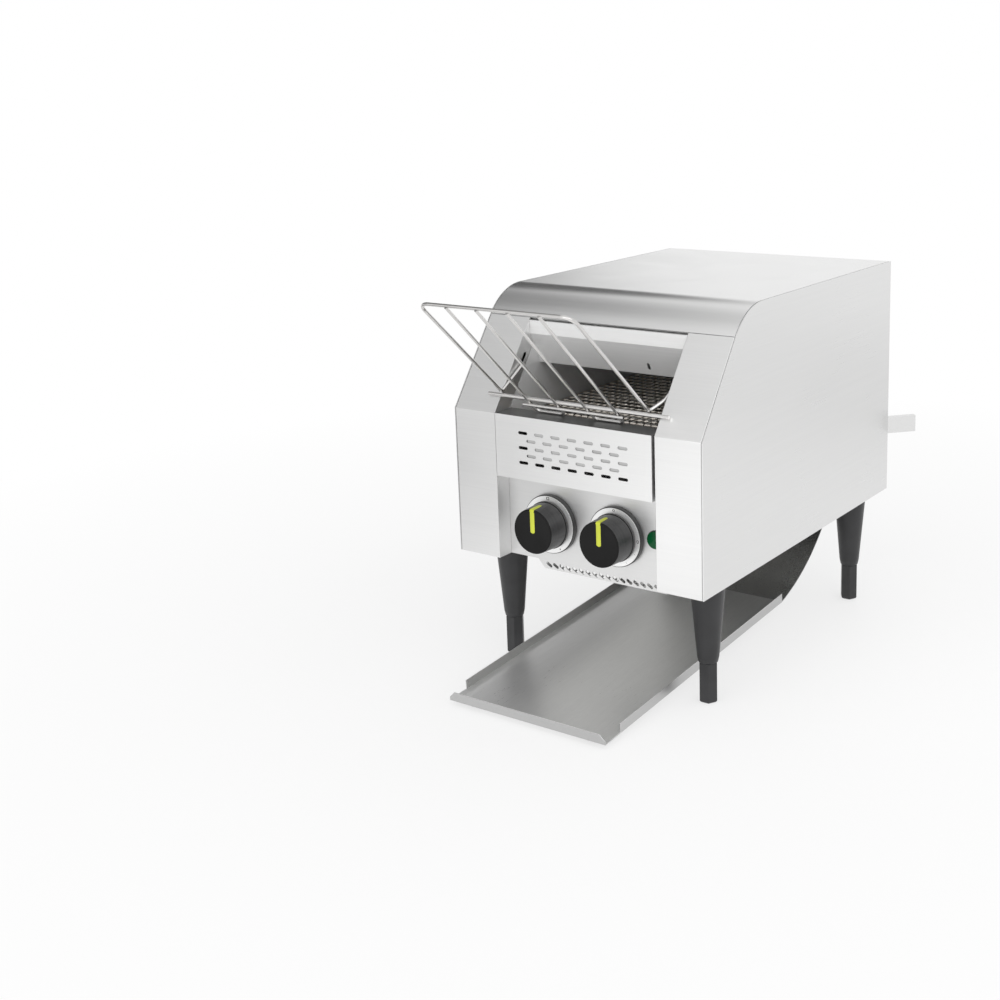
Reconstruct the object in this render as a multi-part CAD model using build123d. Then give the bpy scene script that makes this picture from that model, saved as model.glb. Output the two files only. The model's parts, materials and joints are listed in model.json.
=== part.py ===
"""Countertop conveyor toaster with one lane, built from sheet steel parts.

Units are millimetres. X runs across the toaster, Y runs from the front face
(y = 0) to the back, and Z runs up from the worktop. Every piece is modelled
in that frame, and build() moves them all along Y so that the origin lies
under the middle of the whole length.
"""
from build123d import *
import math
import os

# ---------------------------------------------------------------- driving sizes

# casing
BODY_WIDTH = 288.0
BODY_DEPTH = 418.0
BODY_TOP = 387.0
BODY_BOTTOM = 124.0
KNEE_Z = 274.0            # where the upright front turns into the sloping face
FACE_ANGLE = 54.0         # slope of that face, from the horizontal
CROWN_RADIUS = 64.0       # bend from the sloping face into the top
SHEET = 1.0
SEAM_GAP = 0.6            # open joint between the side panels and the covers
LAP_GAP = 0.1             # between two sheets that lie on each other
COVER_GAP = 0.3           # between the pillars' top edge and the top cover
FLANGE = 12.0
COVER_HEM = 4.0           # turned-in edge of the top cover, over the feed opening
PILLAR_WIDTH = 50.0
PILLAR_RETURN = 19.0      # depth of the pillars' inner return

# front panels
PANEL_SHEET = 1.2
VENT_PROUD = 2.0
VENT_SIDE_GAP = 3.0
VENT_BELOW_KNEE = 62.8
LEDGE_DEPTH = 27.0
VENT_ROWS = 5
VENT_ROW_PITCH = 7.5
VENT_LOWEST_ROW = 17.5    # above the panel's lower edge
VENT_SLOT_PITCH = 19.4
VENT_SLOTS_LONG_ROW = 7
VENT_SLOT_LENGTH = 11.0
VENT_SLOT_HEIGHT = 3.1
VENT_SLOT_SHIFT = 1.0     # of the whole pattern, to the right
VENT_BACKING = 0.8        # sheet behind most of the slots
LIP_DROP = 9.0            # perforated lip below the casing
LIP_FROM_LEFT = 34.0      # from the left-hand tunnel wall
LIP_CHAMFER = 8.0
LIP_FIRST_SLOT = 5.6      # from the chamfer's lower end
LIP_SLOT_PITCH = 7.95
LIP_SLOT_LENGTH = 7.6
LIP_SLOT_WIDTH = 3.1
LIP_SLOT_TILT = -31.0
LIP_SLOT_DROP = 4.5       # from the casing's bottom to the slots' middle

# knobs, dials and lamp
KNOB_SPACING = 78.0
KNOB_MIDDLE_X = -1.5
KNOB_HEIGHT = 40.0        # above the casing's bottom
KNOB_LENGTH = 26.0
KNOB_FACE_RADIUS = 22.6
KNOB_ROOT_RADIUS = 23.6
KNOB_SKIRT_RADIUS = 24.2
KNOB_SKIRT = 2.6
KNOB_EDGE = 1.6
KNOB_GAP = 0.8
POINTER_WIDTH = 5.4
POINTER_DEPTH = 1.0
POINTER_PROUD = 0.25
POINTER_SIDE_LENGTH = 14.8
DIAL_RADIUS = 29.2
DIAL_PLATE = 0.8
DIAL_SEAT_RADIUS = 30.0
DIAL_SEAT = 5.2
SHAFT_RADIUS = 3.0
SHAFT_PLAY = 0.05
SHAFT_HOLE_RADIUS = 5.0
SWITCH_SIZE = 45.0
SWITCH_DEPTH = 43.0
SHAFT_IN_SWITCH = 14.0
SHAFT_IN_KNOB = 17.0
SHAFT_END_GAP = 1.0
SWITCH_CORNER = 3.0
REGULATOR_RADIUS = 16.0
REGULATOR_DEPTH = 24.0
LUG_PITCH = 8.0
LUG_WIDTH = 4.0
LUG_THICK = 1.0
LUG_FROM_BACK = 3.0
LUG_REACH = 8.0
LAMP_FROM_WALL = 12.0     # from the lamp's axis to the tunnel wall
LAMP_RISE = 3.2           # above the knobs' axes
LAMP_RADIUS = 8.6
LAMP_BEZEL = 0.7
LAMP_PROUD = 3.2
LAMP_EDGE = 1.2
LAMP_NECK_RADIUS = 6.5
LAMP_DEPTH = 24.0

# tunnel
WALL_SHEET = 1.2
WALL_GAP = 0.3            # behind the pillars' returns
WALL_BELOW_TOP = 21.0
BAFFLE_DROP = 3.0         # from the cover's front edge to the baffle's face
BAFFLE_FACE = 13.5
BAFFLE_SLOPE_RUN = 15.0
BAFFLE_SLOPE_DROP = 32.0
BAFFLE_FLANGE = 18.0
BAFFLE_HEM = 8.0
BAFFLE_HOLE_X = 42.0
BAFFLE_HOLE_DROP = 23.0   # down the slope
BAFFLE_HOLE_LENGTH = 7.0
BAFFLE_HOLE_WIDTH = 3.4
COMPARTMENT_BELOW_KNEE = 48.0
COMPARTMENT_FROM_REAR = 88.0
REFLECTOR_BELOW_TOP = 54.0
REFLECTOR_FRONT = 92.0
REFLECTOR_FROM_REAR = 42.0
REFLECTOR_LIP = 18.0

# belt and shafts
BELT_FROM_WALL = 5.0
BELT_PITCH = 12.7
BELT_TEETH = 8
ROD_RADIUS = 1.0
BELT_BANDS = 3            # bands of links on each side of the middle
BELT_BAND_WIDTH = 2.4
BELT_BAND_THICK = 1.2
BELT_BAND_INSET = 1.5     # from the rods' ends to the outer band's middle
IDLER_Y = 58.0
DRIVE_FROM_REAR = 67.9
SHAFT_BELOW_KNEE = 24.6
ROLLER_SHAFT_RADIUS = 4.0
ROLLER_SHAFT_PLAY = 0.05
SHAFT_PAST_WALL = 9.0
SHAFT_PAST_CHAIN = 12.0
WHEEL_FROM_WALL = 21.0
WHEEL_WIDTH = 5.0
WHEEL_HUB = 4.0
TOOTH_PLAY = 0.05         # beside a rod or roller, in the slot between two teeth
TOOTH_GAP = 0.25          # from the teeth's tips to the rods or rollers above them
TOOTH_DEPTH = 0.8         # how much deeper than half a rod or roller the slots are
BUSH_RADIUS = 7.0
BUSH_FLANGE_RADIUS = 10.0
BUSH_FLANGE = 2.0
BUSH_LENGTH = 9.0
BUSH_PLAY = 0.05

# chain drive
CHAIN_PITCH = 6.35
CHAIN_FROM_WALL = 19.0
CHAIN_ROLLER_RADIUS = 1.6
CHAIN_WIDTH = 6.0
CHAIN_PLATE = 0.8
CHAIN_PLATE_HEIGHT = 4.8
DRIVE_TEETH = 24
MOTOR_TEETH = 12
CHAIN_WHEEL_WIDTH = 2.6
CHAIN_HUB_RADIUS = 8.0
CHAIN_HUB_LENGTH = 7.0
MOTOR_AHEAD = 100.1       # of the drive shaft
MOTOR_HEIGHT = 52.0       # above the casing's bottom
MOTOR_CAN_RADIUS = 29.0
MOTOR_CAN_LENGTH = 38.0
GEARBOX_SIZE = 60.0
GEARBOX_DEPTH = 27.0
GEARBOX_CORNER = 8.0
MOTOR_BRACKET = 3.0

# heaters
HEATER_RADIUS = 5.0
HEATERS = 3               # in each row
HEATER_DROP = 12.0        # from the reflector to the upper row
UPPER_HEATER_AHEAD = 60.0    # from the idler shaft to the first upper tube
UPPER_HEATER_BEHIND = 84.1   # from the last upper tube to the drive shaft
LOWER_HEATER_INSET = 70.05   # the same for both ends of the lower row
HEATER_PIN = 6.0
HEATER_PIN_RADIUS = 2.5
HEATER_CAP_RADIUS = 8.0
HEATER_CAP_LENGTH = 14.0
HEATER_PLAY = 0.3
HEATER_CAP_PLAY = 0.1

# fan, terminals and cable inlet
FAN_X = -25.0
FAN_Y = 116.0
FAN_SIZE = 80.0
FAN_DEPTH = 25.0
FAN_BORE_RADIUS = 37.5
FAN_TIP_RADIUS = 36.0
FAN_HUB_RADIUS = 16.0
FAN_BLADES = 7
FAN_AXLE_RADIUS = 2.0
FAN_AXLE_PLAY = 0.05
FAN_CORNER = 5.0
FAN_SPIDER = 3.0
FAN_ARM_WIDTH = 5.0
FAN_ROTOR_GAP = 1.5       # to the spider below and the frame's top
FAN_BLADE_CHORD = 20.0
FAN_BLADE_THICK = 1.6
FAN_BLADE_PITCH = 38.0
FAN_BLADE_ROOT = 2.0      # how far a blade reaches into the hub
TERMINAL_X = -45.0
TERMINAL_FROM_REAR = 128.0
TERMINAL_LENGTH = 60.0
TERMINAL_WIDTH = 18.0
TERMINAL_HEIGHT = 16.0
TERMINAL_WAYS = 5
TERMINAL_SCREW_RADIUS = 3.0
TERMINAL_SCREW_DEPTH = 5.0
TERMINAL_WALL = 1.6
TERMINAL_WALL_RISE = 3.0
BOARD_X = -45.0
BOARD_FROM_REAR = 198.0
BOARD_LENGTH = 76.0
BOARD_WIDTH = 52.0
BOARD_THICK = 1.6
BOARD_LIFT = 8.0
BOARD_POST_RADIUS = 3.0
BOARD_POST_INSET = 5.0
BOARD_PARTS = (           # x, y, length, width and height of each block on the board
    (-19.0, 0.0, 22.0, 28.0, 18.4), (26.0, -11.0, 16.0, 18.0, 12.4))
CAPACITOR_PLACE = (8.0, 10.0)
CAPACITOR_RADIUS = 7.0
CAPACITOR_HEIGHT = 20.4
GLAND_FROM_SIDE = 25.0
GLAND_HEIGHT = 34.0       # above the casing's bottom
GLAND_RADIUS = 11.0
GLAND_BARREL_INSET = 2.0
GLAND_NECK_WALL = 1.8
GLAND_LENGTH = 18.0
GLAND_BORE_RADIUS = 4.2

# screws of the casing
SCREW_HEAD_RADIUS = 3.6
SCREW_HEAD = 2.0
SCREW_SHANK_RADIUS = 1.9
SCREW_SHANK = 4.0
SCREW_HOLE_RADIUS = 2.1
SCREW_FROM_EDGE = 8.0
SCREW_FROM_END = 14.0     # rows on the back, from the casing's top and bottom
SCREW_MIDDLE_RISE = 20.0
FLOOR_SCREW_FRONT = 9.0
FLOOR_SCREW_REAR = 10.0
SPACER_SCREW_X = 60.0

# slots in the back and the floor
LOUVRE_LENGTH = 44.0
LOUVRE_HEIGHT = 3.0
LOUVRE_ROWS = 6
LOUVRE_COLUMNS = 3
LOUVRE_ROW_PITCH = 9.0
LOUVRE_COLUMN_PITCH = 56.0
LOUVRE_FROM_TOP = 40.0
INTAKE_LENGTH = 56.0
INTAKE_WIDTH = 3.5
INTAKE_PITCH = 8.0
INTAKE_SLOTS = 7

# legs
LEG_FROM_SIDE = 26.0
LEG_FROM_FRONT = 52.0
LEG_FROM_REAR = 43.0
LEG_FLANGE_RADIUS = 18.5
LEG_FLANGE = 2.5
LEG_TOP_RADIUS = 17.4
LEG_LOW_RADIUS = 10.9
LEG_LOW_Z = 47.0
LEG_END_Z = 41.3
LEG_END_RADIUS = 9.7
LEG_STUD_RADIUS = 4.0
LEG_STUD = 8.0
LEG_STUD_PLAY = 0.2
FOOT_FLATS = 17.0
FOOT_GAP = 0.3
FOOT_CHAMFER = 1.6
FOOT_STUD_RADIUS = 5.0
FOOT_STUD_LENGTH = 42.0
FOOT_STUD_PLAY = 0.1

# exit tray and chute
TRAY_SIDE_GAP = 2.5       # each side, to the width of the feed opening
TRAY_FRONT_Y = -88.0
TRAY_FROM_REAR = 158.0
TRAY_FRONT_Z = 5.0
TRAY_REAR_Z = 27.0
TRAY_SIDE = 10.0
TRAY_LIP = 9.6
TRAY_NOTCH = 25.0
TRAY_CORNER = 6.0
TRAY_PAD_RADIUS = 6.0
TRAY_PAD_INSET = 21.5
TRAY_PAD_BACK = 14.0
CHUTE_SIDE_GAP = 3.0      # each side, to the tunnel walls
CHUTE_RADIUS = 226.0
CHUTE_START_ANGLE = 15.0
CHUTE_END_ANGLE = 68.0
CHUTE_LIP = 22.0
CHUTE_PAST_TRAY = 2.0
CHUTE_BELOW_TOP = 87.0
CHUTE_PLAY = 0.3
CHUTE_OVERLAP = 0.4       # how deep the chute's stretches run into each other

# bread rack of bent wire
RACK_SIDE_GAP = 8.0       # each side, to the width of the feed opening
RACK_SHIFT = -4.5
RACK_TOP_Y = -107.3
RACK_TOP_Z = 400.0
RACK_FRAME_RADIUS = 1.7
RACK_BAR_RADIUS = 1.5
RACK_ROD_RADIUS = 2.0
RACK_CORNER = 12.0
RACK_ROD_PAST = 11.0      # past the feed opening, each side
RACK_ROD_Y = 9.5
RACK_REST_GAP = 0.3
RACK_BARS = 4
RACK_NUB = 4.0
RACK_LOOP_CORNER = 5.0
RACK_TIE_OVERHANG = 7.0
RACK_TURN = 5.0           # bend of the side bars where they meet the long rod
HOOK_BEND = 2.5
HOOK_SWEEP = 20.0         # bend that leads the right-hand hook out to the pillar
HOOK_SWEEP_AT = 0.4       # its place, as a share of the way to the hook's end
HOOK_BELOW_SEAM = 45.57   # down the sloping face
HOOK_INSET = 12.86        # in from that face
HOOK_TIP = 5.0            # how far a hook reaches past the pillar's return
HOOK_LIFT = 10.0
HOOK_PLAY = 0.4
WELD = 0.3                # how deep two welded wires sink into each other

# rear spacer
SPACER_RISE = 64.0        # above the casing's bottom
SPACER_HEIGHT = 19.0
SPACER_SHEET = 1.5
SPACER_FROM_SIDE = 5.0
SPACER_WING = 39.0
SPACER_WING_ANGLE = 47.0
SPACER_FOLD = 6.0

# ---------------------------------------------------------------- worked out sizes

HALF_WIDTH = BODY_WIDTH / 2
COVER_HALF = HALF_WIDTH - SHEET - SEAM_GAP
OPENING_HALF = HALF_WIDTH - PILLAR_WIDTH
TUNNEL_HALF = OPENING_HALF - SHEET
FACE_SIN = math.sin(math.radians(FACE_ANGLE))
FACE_COS = math.cos(math.radians(FACE_ANGLE))
CROWN_TANGENT = CROWN_RADIUS * math.tan(math.radians(FACE_ANGLE / 2))
CROWN_Y = (BODY_TOP - KNEE_Z) * FACE_COS / FACE_SIN + CROWN_TANGENT
CROWN_Z = BODY_TOP - CROWN_RADIUS
PANEL_Y = PILLAR_RETURN
FLOOR_TOP = BODY_BOTTOM + PANEL_SHEET
VENT_BOTTOM = KNEE_Z - VENT_BELOW_KNEE
WALL_TOP = BODY_TOP - WALL_BELOW_TOP
COMPARTMENT_TOP = KNEE_Z - COMPARTMENT_BELOW_KNEE
COMPARTMENT_REAR = BODY_DEPTH - COMPARTMENT_FROM_REAR
REFLECTOR_Z = BODY_TOP - REFLECTOR_BELOW_TOP
REFLECTOR_REAR = BODY_DEPTH - REFLECTOR_FROM_REAR
LIP_LEFT = LIP_FROM_LEFT - TUNNEL_HALF
KNOB_Z = BODY_BOTTOM + KNOB_HEIGHT
LAMP_X = TUNNEL_HALF - LAMP_FROM_WALL
LAMP_Z = KNOB_Z + LAMP_RISE
BELT_HALF = TUNNEL_HALF - BELT_FROM_WALL
BELT_BAND_PITCH = (BELT_HALF - BELT_BAND_INSET) / BELT_BANDS
BELT_RADIUS = BELT_PITCH / (2 * math.sin(math.pi / BELT_TEETH))
BELT_BAYS = round((BODY_DEPTH - DRIVE_FROM_REAR - IDLER_Y) / BELT_PITCH)
DRIVE_Y = IDLER_Y + BELT_BAYS * BELT_PITCH
SHAFT_Z = KNEE_Z - SHAFT_BELOW_KNEE
SHAFT_REACH = TUNNEL_HALF + SHAFT_PAST_WALL
WHEEL_X = (WHEEL_FROM_WALL - TUNNEL_HALF, 0.0, TUNNEL_HALF - WHEEL_FROM_WALL)
CHAIN_X = TUNNEL_HALF + CHAIN_FROM_WALL
MOTOR_Y = DRIVE_Y - MOTOR_AHEAD
MOTOR_Z = BODY_BOTTOM + MOTOR_HEIGHT
UPPER_HEATER_Z = REFLECTOR_Z - HEATER_DROP
GLAND_X = GLAND_FROM_SIDE - HALF_WIDTH
GLAND_Z = BODY_BOTTOM + GLAND_HEIGHT
TRAY_HALF = OPENING_HALF - TRAY_SIDE_GAP
TRAY_REAR_Y = BODY_DEPTH - TRAY_FROM_REAR
TRAY_PAD_X = TRAY_HALF - TRAY_PAD_INSET
CHUTE_HALF = TUNNEL_HALF - CHUTE_SIDE_GAP
CHUTE_TOP = BODY_TOP - CHUTE_BELOW_TOP
RACK_HALF = OPENING_HALF - RACK_SIDE_GAP
RACK_ROD_HALF = OPENING_HALF + RACK_ROD_PAST
SPACER_Z = BODY_BOTTOM + SPACER_RISE
SPACER_HALF = HALF_WIDTH - SPACER_FROM_SIDE
DIAL_Y = PANEL_Y - DIAL_SEAT - DIAL_PLATE
KNOB_BACK_Y = DIAL_Y - KNOB_GAP
KNOB_FACE_Y = KNOB_BACK_Y - KNOB_LENGTH
TRAY_TILT = math.degrees(math.atan2(TRAY_REAR_Z - TRAY_FRONT_Z, TRAY_REAR_Y - TRAY_FRONT_Y))
WING_COS = math.cos(math.radians(SPACER_WING_ANGLE))
WING_SIN = math.sin(math.radians(SPACER_WING_ANGLE))
SPACER_Y = BODY_DEPTH + LAP_GAP

# ---------------------------------------------------------------- helpers


def block(x0, x1, y0, y1, z0, z1):
    middle = Pos((x0 + x1) / 2, (y0 + y1) / 2, (z0 + z1) / 2)
    return middle * Box(abs(x1 - x0), abs(y1 - y0), abs(z1 - z0))


def bar_x(x0, x1, y, z, radius):
    """Round bar along X."""
    return Pos((x0 + x1) / 2, y, z) * Rot(0, 90, 0) * Cylinder(radius, abs(x1 - x0))


def bar_y(x, y0, y1, z, radius):
    """Round bar along Y."""
    return Pos(x, (y0 + y1) / 2, z) * Rot(90, 0, 0) * Cylinder(radius, abs(y1 - y0))


def bar_z(x, y, z0, z1, radius):
    """Round bar along Z."""
    return Pos(x, y, (z0 + z1) / 2) * Cylinder(radius, abs(z1 - z0))


def across(face, x0, x1):
    """Push a face drawn in Y and Z out along X."""
    return Pos(x0, 0, 0) * extrude(Plane.YZ * face, amount=x1 - x0, dir=(1, 0, 0))


def along(face, y0, y1):
    """Push a face drawn in X and Z out along Y."""
    return Pos(0, y0, 0) * extrude(Plane.XZ * face, amount=y1 - y0, dir=(0, 1, 0))


def polygon(points):
    return make_face(Polyline(*points, close=True))


def ribbon(points, thickness):
    """Outline of a bent sheet: the given line, and its copy to the left."""
    normals = []
    for (u0, v0), (u1, v1) in zip(points, points[1:]):
        length = math.hypot(u1 - u0, v1 - v0)
        normals.append((-(v1 - v0) / length, (u1 - u0) / length))
    offset_points = []
    for i, (u, v) in enumerate(points):
        before = normals[max(i - 1, 0)]
        after = normals[min(i, len(normals) - 1)]
        mitre = 1 + before[0] * after[0] + before[1] * after[1]
        offset_points.append((u + thickness * (before[0] + after[0]) / mitre,
                              v + thickness * (before[1] + after[1]) / mitre))
    return polygon(list(points) + offset_points[::-1])


def mirrored(shape):
    return mirror(shape, about=Plane.YZ)


def group(shapes):
    """One node of separate solids."""
    return Compound([solid for shape in shapes for solid in shape.solids()])


# ---------------------------------------------------------------- casing outline


def knee(inset):
    return (inset, KNEE_Z - inset * (1 - FACE_SIN) / FACE_COS)


def seam(inset):
    """Point on the sloping face where the crown begins."""
    radius = CROWN_RADIUS - inset
    return (CROWN_Y - radius * FACE_SIN, CROWN_Z + radius * FACE_COS)


def hook_end():
    """Where a rack hook sits in its slot, measured from the seam down the slope."""
    y, z = seam(0)
    return (y - HOOK_BELOW_SEAM * FACE_COS + HOOK_INSET * FACE_SIN,
            z - HOOK_BELOW_SEAM * FACE_SIN - HOOK_INSET * FACE_COS)


def row(first, last, count):
    """Evenly spaced places from the first to the last."""
    return [first + (last - first) * i / (count - 1) for i in range(count)]


def crown_arc(inset):
    radius = CROWN_RADIUS - inset
    return CenterArc((CROWN_Y, CROWN_Z), radius, 90, FACE_ANGLE)


def front_band(inset, depth, shorten=0.0):
    """Band that follows the front, from the casing's bottom to the seam."""
    outer = [(inset, BODY_BOTTOM), knee(inset), seam(inset)]
    inner = [(depth, BODY_BOTTOM), knee(depth), seam(depth)]
    cut = (shorten * FACE_COS, shorten * FACE_SIN)
    outer[2] = (outer[2][0] - cut[0], outer[2][1] - cut[1])
    inner[2] = (inner[2][0] - cut[0], inner[2][1] - cut[1])
    return polygon(outer + inner[::-1])


def top_band(inset, depth, rear):
    """Band that follows the crown and the top, from the seam to the rear."""
    outer_top = BODY_TOP - inset
    inner_top = BODY_TOP - depth
    edges = [crown_arc(inset), Line((CROWN_Y, outer_top), (rear, outer_top)),
             Line((rear, outer_top), (rear, inner_top)),
             Line((rear, inner_top), (CROWN_Y, inner_top)), crown_arc(depth),
             Line(seam(depth), seam(inset))]
    return make_face(edges)


def side_outline(inset):
    """Whole side of the casing, smaller by the inset all round."""
    rear = BODY_DEPTH - inset
    bottom = BODY_BOTTOM + inset
    top = BODY_TOP - inset
    edges = [Line((inset, bottom), knee(inset)), Line(knee(inset), seam(inset)),
             crown_arc(inset), Line((CROWN_Y, top), (rear, top)),
             Line((rear, top), (rear, bottom)), Line((rear, bottom), (inset, bottom))]
    return make_face(edges)


# ---------------------------------------------------------------- casing


def side_panel():
    """Right-hand side: a flat plate with a return all round, under the covers."""
    lap = SHEET + LAP_GAP
    plate = across(side_outline(0), HALF_WIDTH - SHEET, HALF_WIDTH)
    rim = side_outline(lap + PANEL_SHEET - SHEET) - side_outline(lap + PANEL_SHEET)
    return plate + across(rim, HALF_WIDTH - FLANGE, HALF_WIDTH - SHEET) - case_screws(hole=True)


def hook_slot():
    """Cutter for the slot that takes a rack hook, through the pillar's return."""
    half = RACK_FRAME_RADIUS + HOOK_PLAY
    start_y, start_z = hook_end()
    end_y = start_y + HOOK_LIFT * FACE_COS
    end_z = start_z + HOOK_LIFT * FACE_SIN
    middle = Pos((start_y + end_y) / 2, (start_z + end_z) / 2) * Rot(0, 0, FACE_ANGLE)
    slot = middle * SlotCenterToCenter(HOOK_LIFT, 2 * half)
    return across(slot, OPENING_HALF - 3 * SHEET, OPENING_HALF + SHEET)


def front_pillar():
    """Right-hand pillar: the upright and sloping face with its inner return."""
    face = across(front_band(0, SHEET, COVER_GAP), OPENING_HALF - SHEET, COVER_HALF)
    inner = across(front_band(0, PILLAR_RETURN, COVER_GAP), OPENING_HALF - SHEET, OPENING_HALF)
    sole = block(OPENING_HALF - SHEET, COVER_HALF, 0, PILLAR_RETURN, BODY_BOTTOM, BODY_BOTTOM + SHEET)
    return face + inner + sole - hook_slot()


def top_cover():
    """Top and crown in one sheet, with a hem along its front edge."""
    skin = across(top_band(0, SHEET, BODY_DEPTH), -COVER_HALF, COVER_HALF)
    (y0, z0), (y1, z1) = seam(0), seam(COVER_HEM)
    hem = polygon([(y0, z0), (y0 + SHEET * FACE_COS, z0 + SHEET * FACE_SIN),
                   (y1 + SHEET * FACE_COS, z1 + SHEET * FACE_SIN), (y1, z1)])
    return skin + across(hem, -TUNNEL_HALF, TUNNEL_HALF)


def rear_panel():
    """Back of the casing with rows of louvre slots and the cable gland's hole."""
    panel = block(-COVER_HALF, COVER_HALF, BODY_DEPTH - SHEET, BODY_DEPTH,
                  BODY_BOTTOM, BODY_TOP - SHEET - LAP_GAP)
    top_row = BODY_TOP - LOUVRE_FROM_TOP
    slots = Sketch() + [
        Pos((column - (LOUVRE_COLUMNS - 1) / 2) * LOUVRE_COLUMN_PITCH, top_row - i * LOUVRE_ROW_PITCH)
        * SlotOverall(LOUVRE_LENGTH, LOUVRE_HEIGHT)
        for i in range(LOUVRE_ROWS) for column in range(LOUVRE_COLUMNS)]
    panel -= along(slots, BODY_DEPTH - 2 * SHEET, BODY_DEPTH + SHEET)
    panel -= case_screws(hole=True)
    gland_hole = GLAND_BORE_RADIUS + GLAND_NECK_WALL + LAP_GAP
    return panel - bar_y(GLAND_X, BODY_DEPTH - FLANGE, BODY_DEPTH + FLANGE, GLAND_Z, gland_hole)


def bottom_plate():
    """Floor of the casing, open at the rear where the toast drops out."""
    rear = BODY_DEPTH - SHEET - LAP_GAP
    plate = block(-COVER_HALF, COVER_HALF, PILLAR_RETURN + PANEL_SHEET + LAP_GAP, rear,
                  BODY_BOTTOM, FLOOR_TOP)
    plate -= block(-TUNNEL_HALF, TUNNEL_HALF, COMPARTMENT_REAR, rear + 1, 0, FLOOR_TOP + 1)
    reach = INTAKE_PITCH * (INTAKE_SLOTS - 1) / 2
    intake = Sketch() + [Pos(FAN_X, y) * SlotOverall(INTAKE_LENGTH, INTAKE_WIDTH)
                         for y in row(FAN_Y - reach, FAN_Y + reach, INTAKE_SLOTS)]
    plate -= Pos(0, 0, BODY_BOTTOM - 1) * extrude(intake, 2 + PANEL_SHEET)
    for x, y in leg_places().values():
        plate -= bar_z(x, y, BODY_BOTTOM - 1, FLOOR_TOP + 1, LEG_STUD_RADIUS + LEG_STUD_PLAY)
    return plate - case_screws(hole=True)


def vent_panel():
    """Proud panel under the feed opening, with slots and the entry ledge."""
    half = OPENING_HALF - VENT_SIDE_GAP
    front, back = -VENT_PROUD, -VENT_PROUD + SHEET
    top = KNEE_Z + SHEET
    panel = block(-half, half, front, back, VENT_BOTTOM, top)
    panel += block(-half, half, front, LEDGE_DEPTH - VENT_PROUD, top - SHEET, top)
    panel += block(-half, half, front, PANEL_Y - LAP_GAP, VENT_BOTTOM, VENT_BOTTOM + SHEET)
    for side in (-1, 1):
        panel += block(side * half, side * (half - SHEET), front, FLANGE, VENT_BOTTOM, top)
    slots = Sketch()
    lowest = VENT_BOTTOM + VENT_LOWEST_ROW
    for level in range(VENT_ROWS):
        count = VENT_SLOTS_LONG_ROW - level % 2
        for i in range(count):
            x = VENT_SLOT_SHIFT + (i - (count - 1) / 2) * VENT_SLOT_PITCH
            slots += Pos(x, lowest + level * VENT_ROW_PITCH) * SlotOverall(VENT_SLOT_LENGTH, VENT_SLOT_HEIGHT)
    panel -= along(slots, front - 1, back + 1)
    # the backing leaves the lowest row and the left-hand column open
    first_x = VENT_SLOT_SHIFT - (VENT_SLOTS_LONG_ROW - 1) / 2 * VENT_SLOT_PITCH
    return panel + block(first_x + VENT_SLOT_PITCH / 4, half, back, back + VENT_BACKING,
                         lowest + VENT_ROW_PITCH / 2, top)


def knob_x(side):
    return KNOB_MIDDLE_X + side * KNOB_SPACING / 2


def control_panel():
    """Recessed panel for the knobs, with a perforated lip below the casing."""
    half = TUNNEL_HALF - LAP_GAP
    lip_z = BODY_BOTTOM - LIP_DROP
    chamfer_x = LIP_LEFT + LIP_CHAMFER
    outline = polygon([(-half, BODY_BOTTOM), (LIP_LEFT, BODY_BOTTOM), (chamfer_x, lip_z),
                       (half, lip_z), (half, VENT_BOTTOM + FLANGE), (-half, VENT_BOTTOM + FLANGE)])
    panel = along(outline, PANEL_Y, PANEL_Y + PANEL_SHEET)
    count = int((half - chamfer_x - LIP_FIRST_SLOT) / LIP_SLOT_PITCH)
    slots = Sketch() + [
        Pos(chamfer_x + LIP_FIRST_SLOT + i * LIP_SLOT_PITCH, BODY_BOTTOM - LIP_SLOT_DROP)
        * Rot(0, 0, LIP_SLOT_TILT) * SlotOverall(LIP_SLOT_LENGTH, LIP_SLOT_WIDTH)
        for i in range(count)]
    panel -= along(slots, PANEL_Y - 1, PANEL_Y + PANEL_SHEET + 1)
    for side in (-1, 1):
        panel -= bar_y(knob_x(side), 0, PANEL_Y + FLANGE, KNOB_Z, SHAFT_HOLE_RADIUS)
    return panel - bar_y(LAMP_X, 0, PANEL_Y + FLANGE, LAMP_Z, LAMP_NECK_RADIUS + HEATER_PLAY)


def rear_spacer():
    """Bent strip on the back whose wings keep the toaster off the wall."""
    tip_x = SPACER_HALF + SPACER_WING * WING_COS
    tip_y = SPACER_Y + SPACER_WING * WING_SIN
    line = [(tip_x, tip_y), (SPACER_HALF, SPACER_Y), (-SPACER_HALF, SPACER_Y), (-tip_x, tip_y)]
    strip = Pos(0, 0, SPACER_Z) * extrude(ribbon(line, -SPACER_SHEET), SPACER_HEIGHT)
    fold_line = [(tip_x, tip_y), (SPACER_HALF, SPACER_Y)]
    top = SPACER_Z + SPACER_HEIGHT - SPACER_SHEET
    fold = Pos(0, 0, top) * extrude(ribbon(fold_line, -SPACER_FOLD), SPACER_SHEET)
    behind = block(-BODY_WIDTH, BODY_WIDTH, SPACER_Y, SPACER_Y + BODY_DEPTH, 0, BODY_TOP)
    return strip + (fold & behind) + (mirrored(fold) & behind) - case_screws(hole=True)


def screw(hole):
    """Pan head screw along Z with its head below z = 0, or the hole that it needs."""
    if hole:
        return Cylinder(SCREW_HOLE_RADIUS, 2 * FLANGE)
    head = Pos(0, 0, -SCREW_HEAD / 2) * Cylinder(SCREW_HEAD_RADIUS, SCREW_HEAD)
    return head + Pos(0, 0, SCREW_SHANK / 2) * Cylinder(SCREW_SHANK_RADIUS, SCREW_SHANK)


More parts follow.
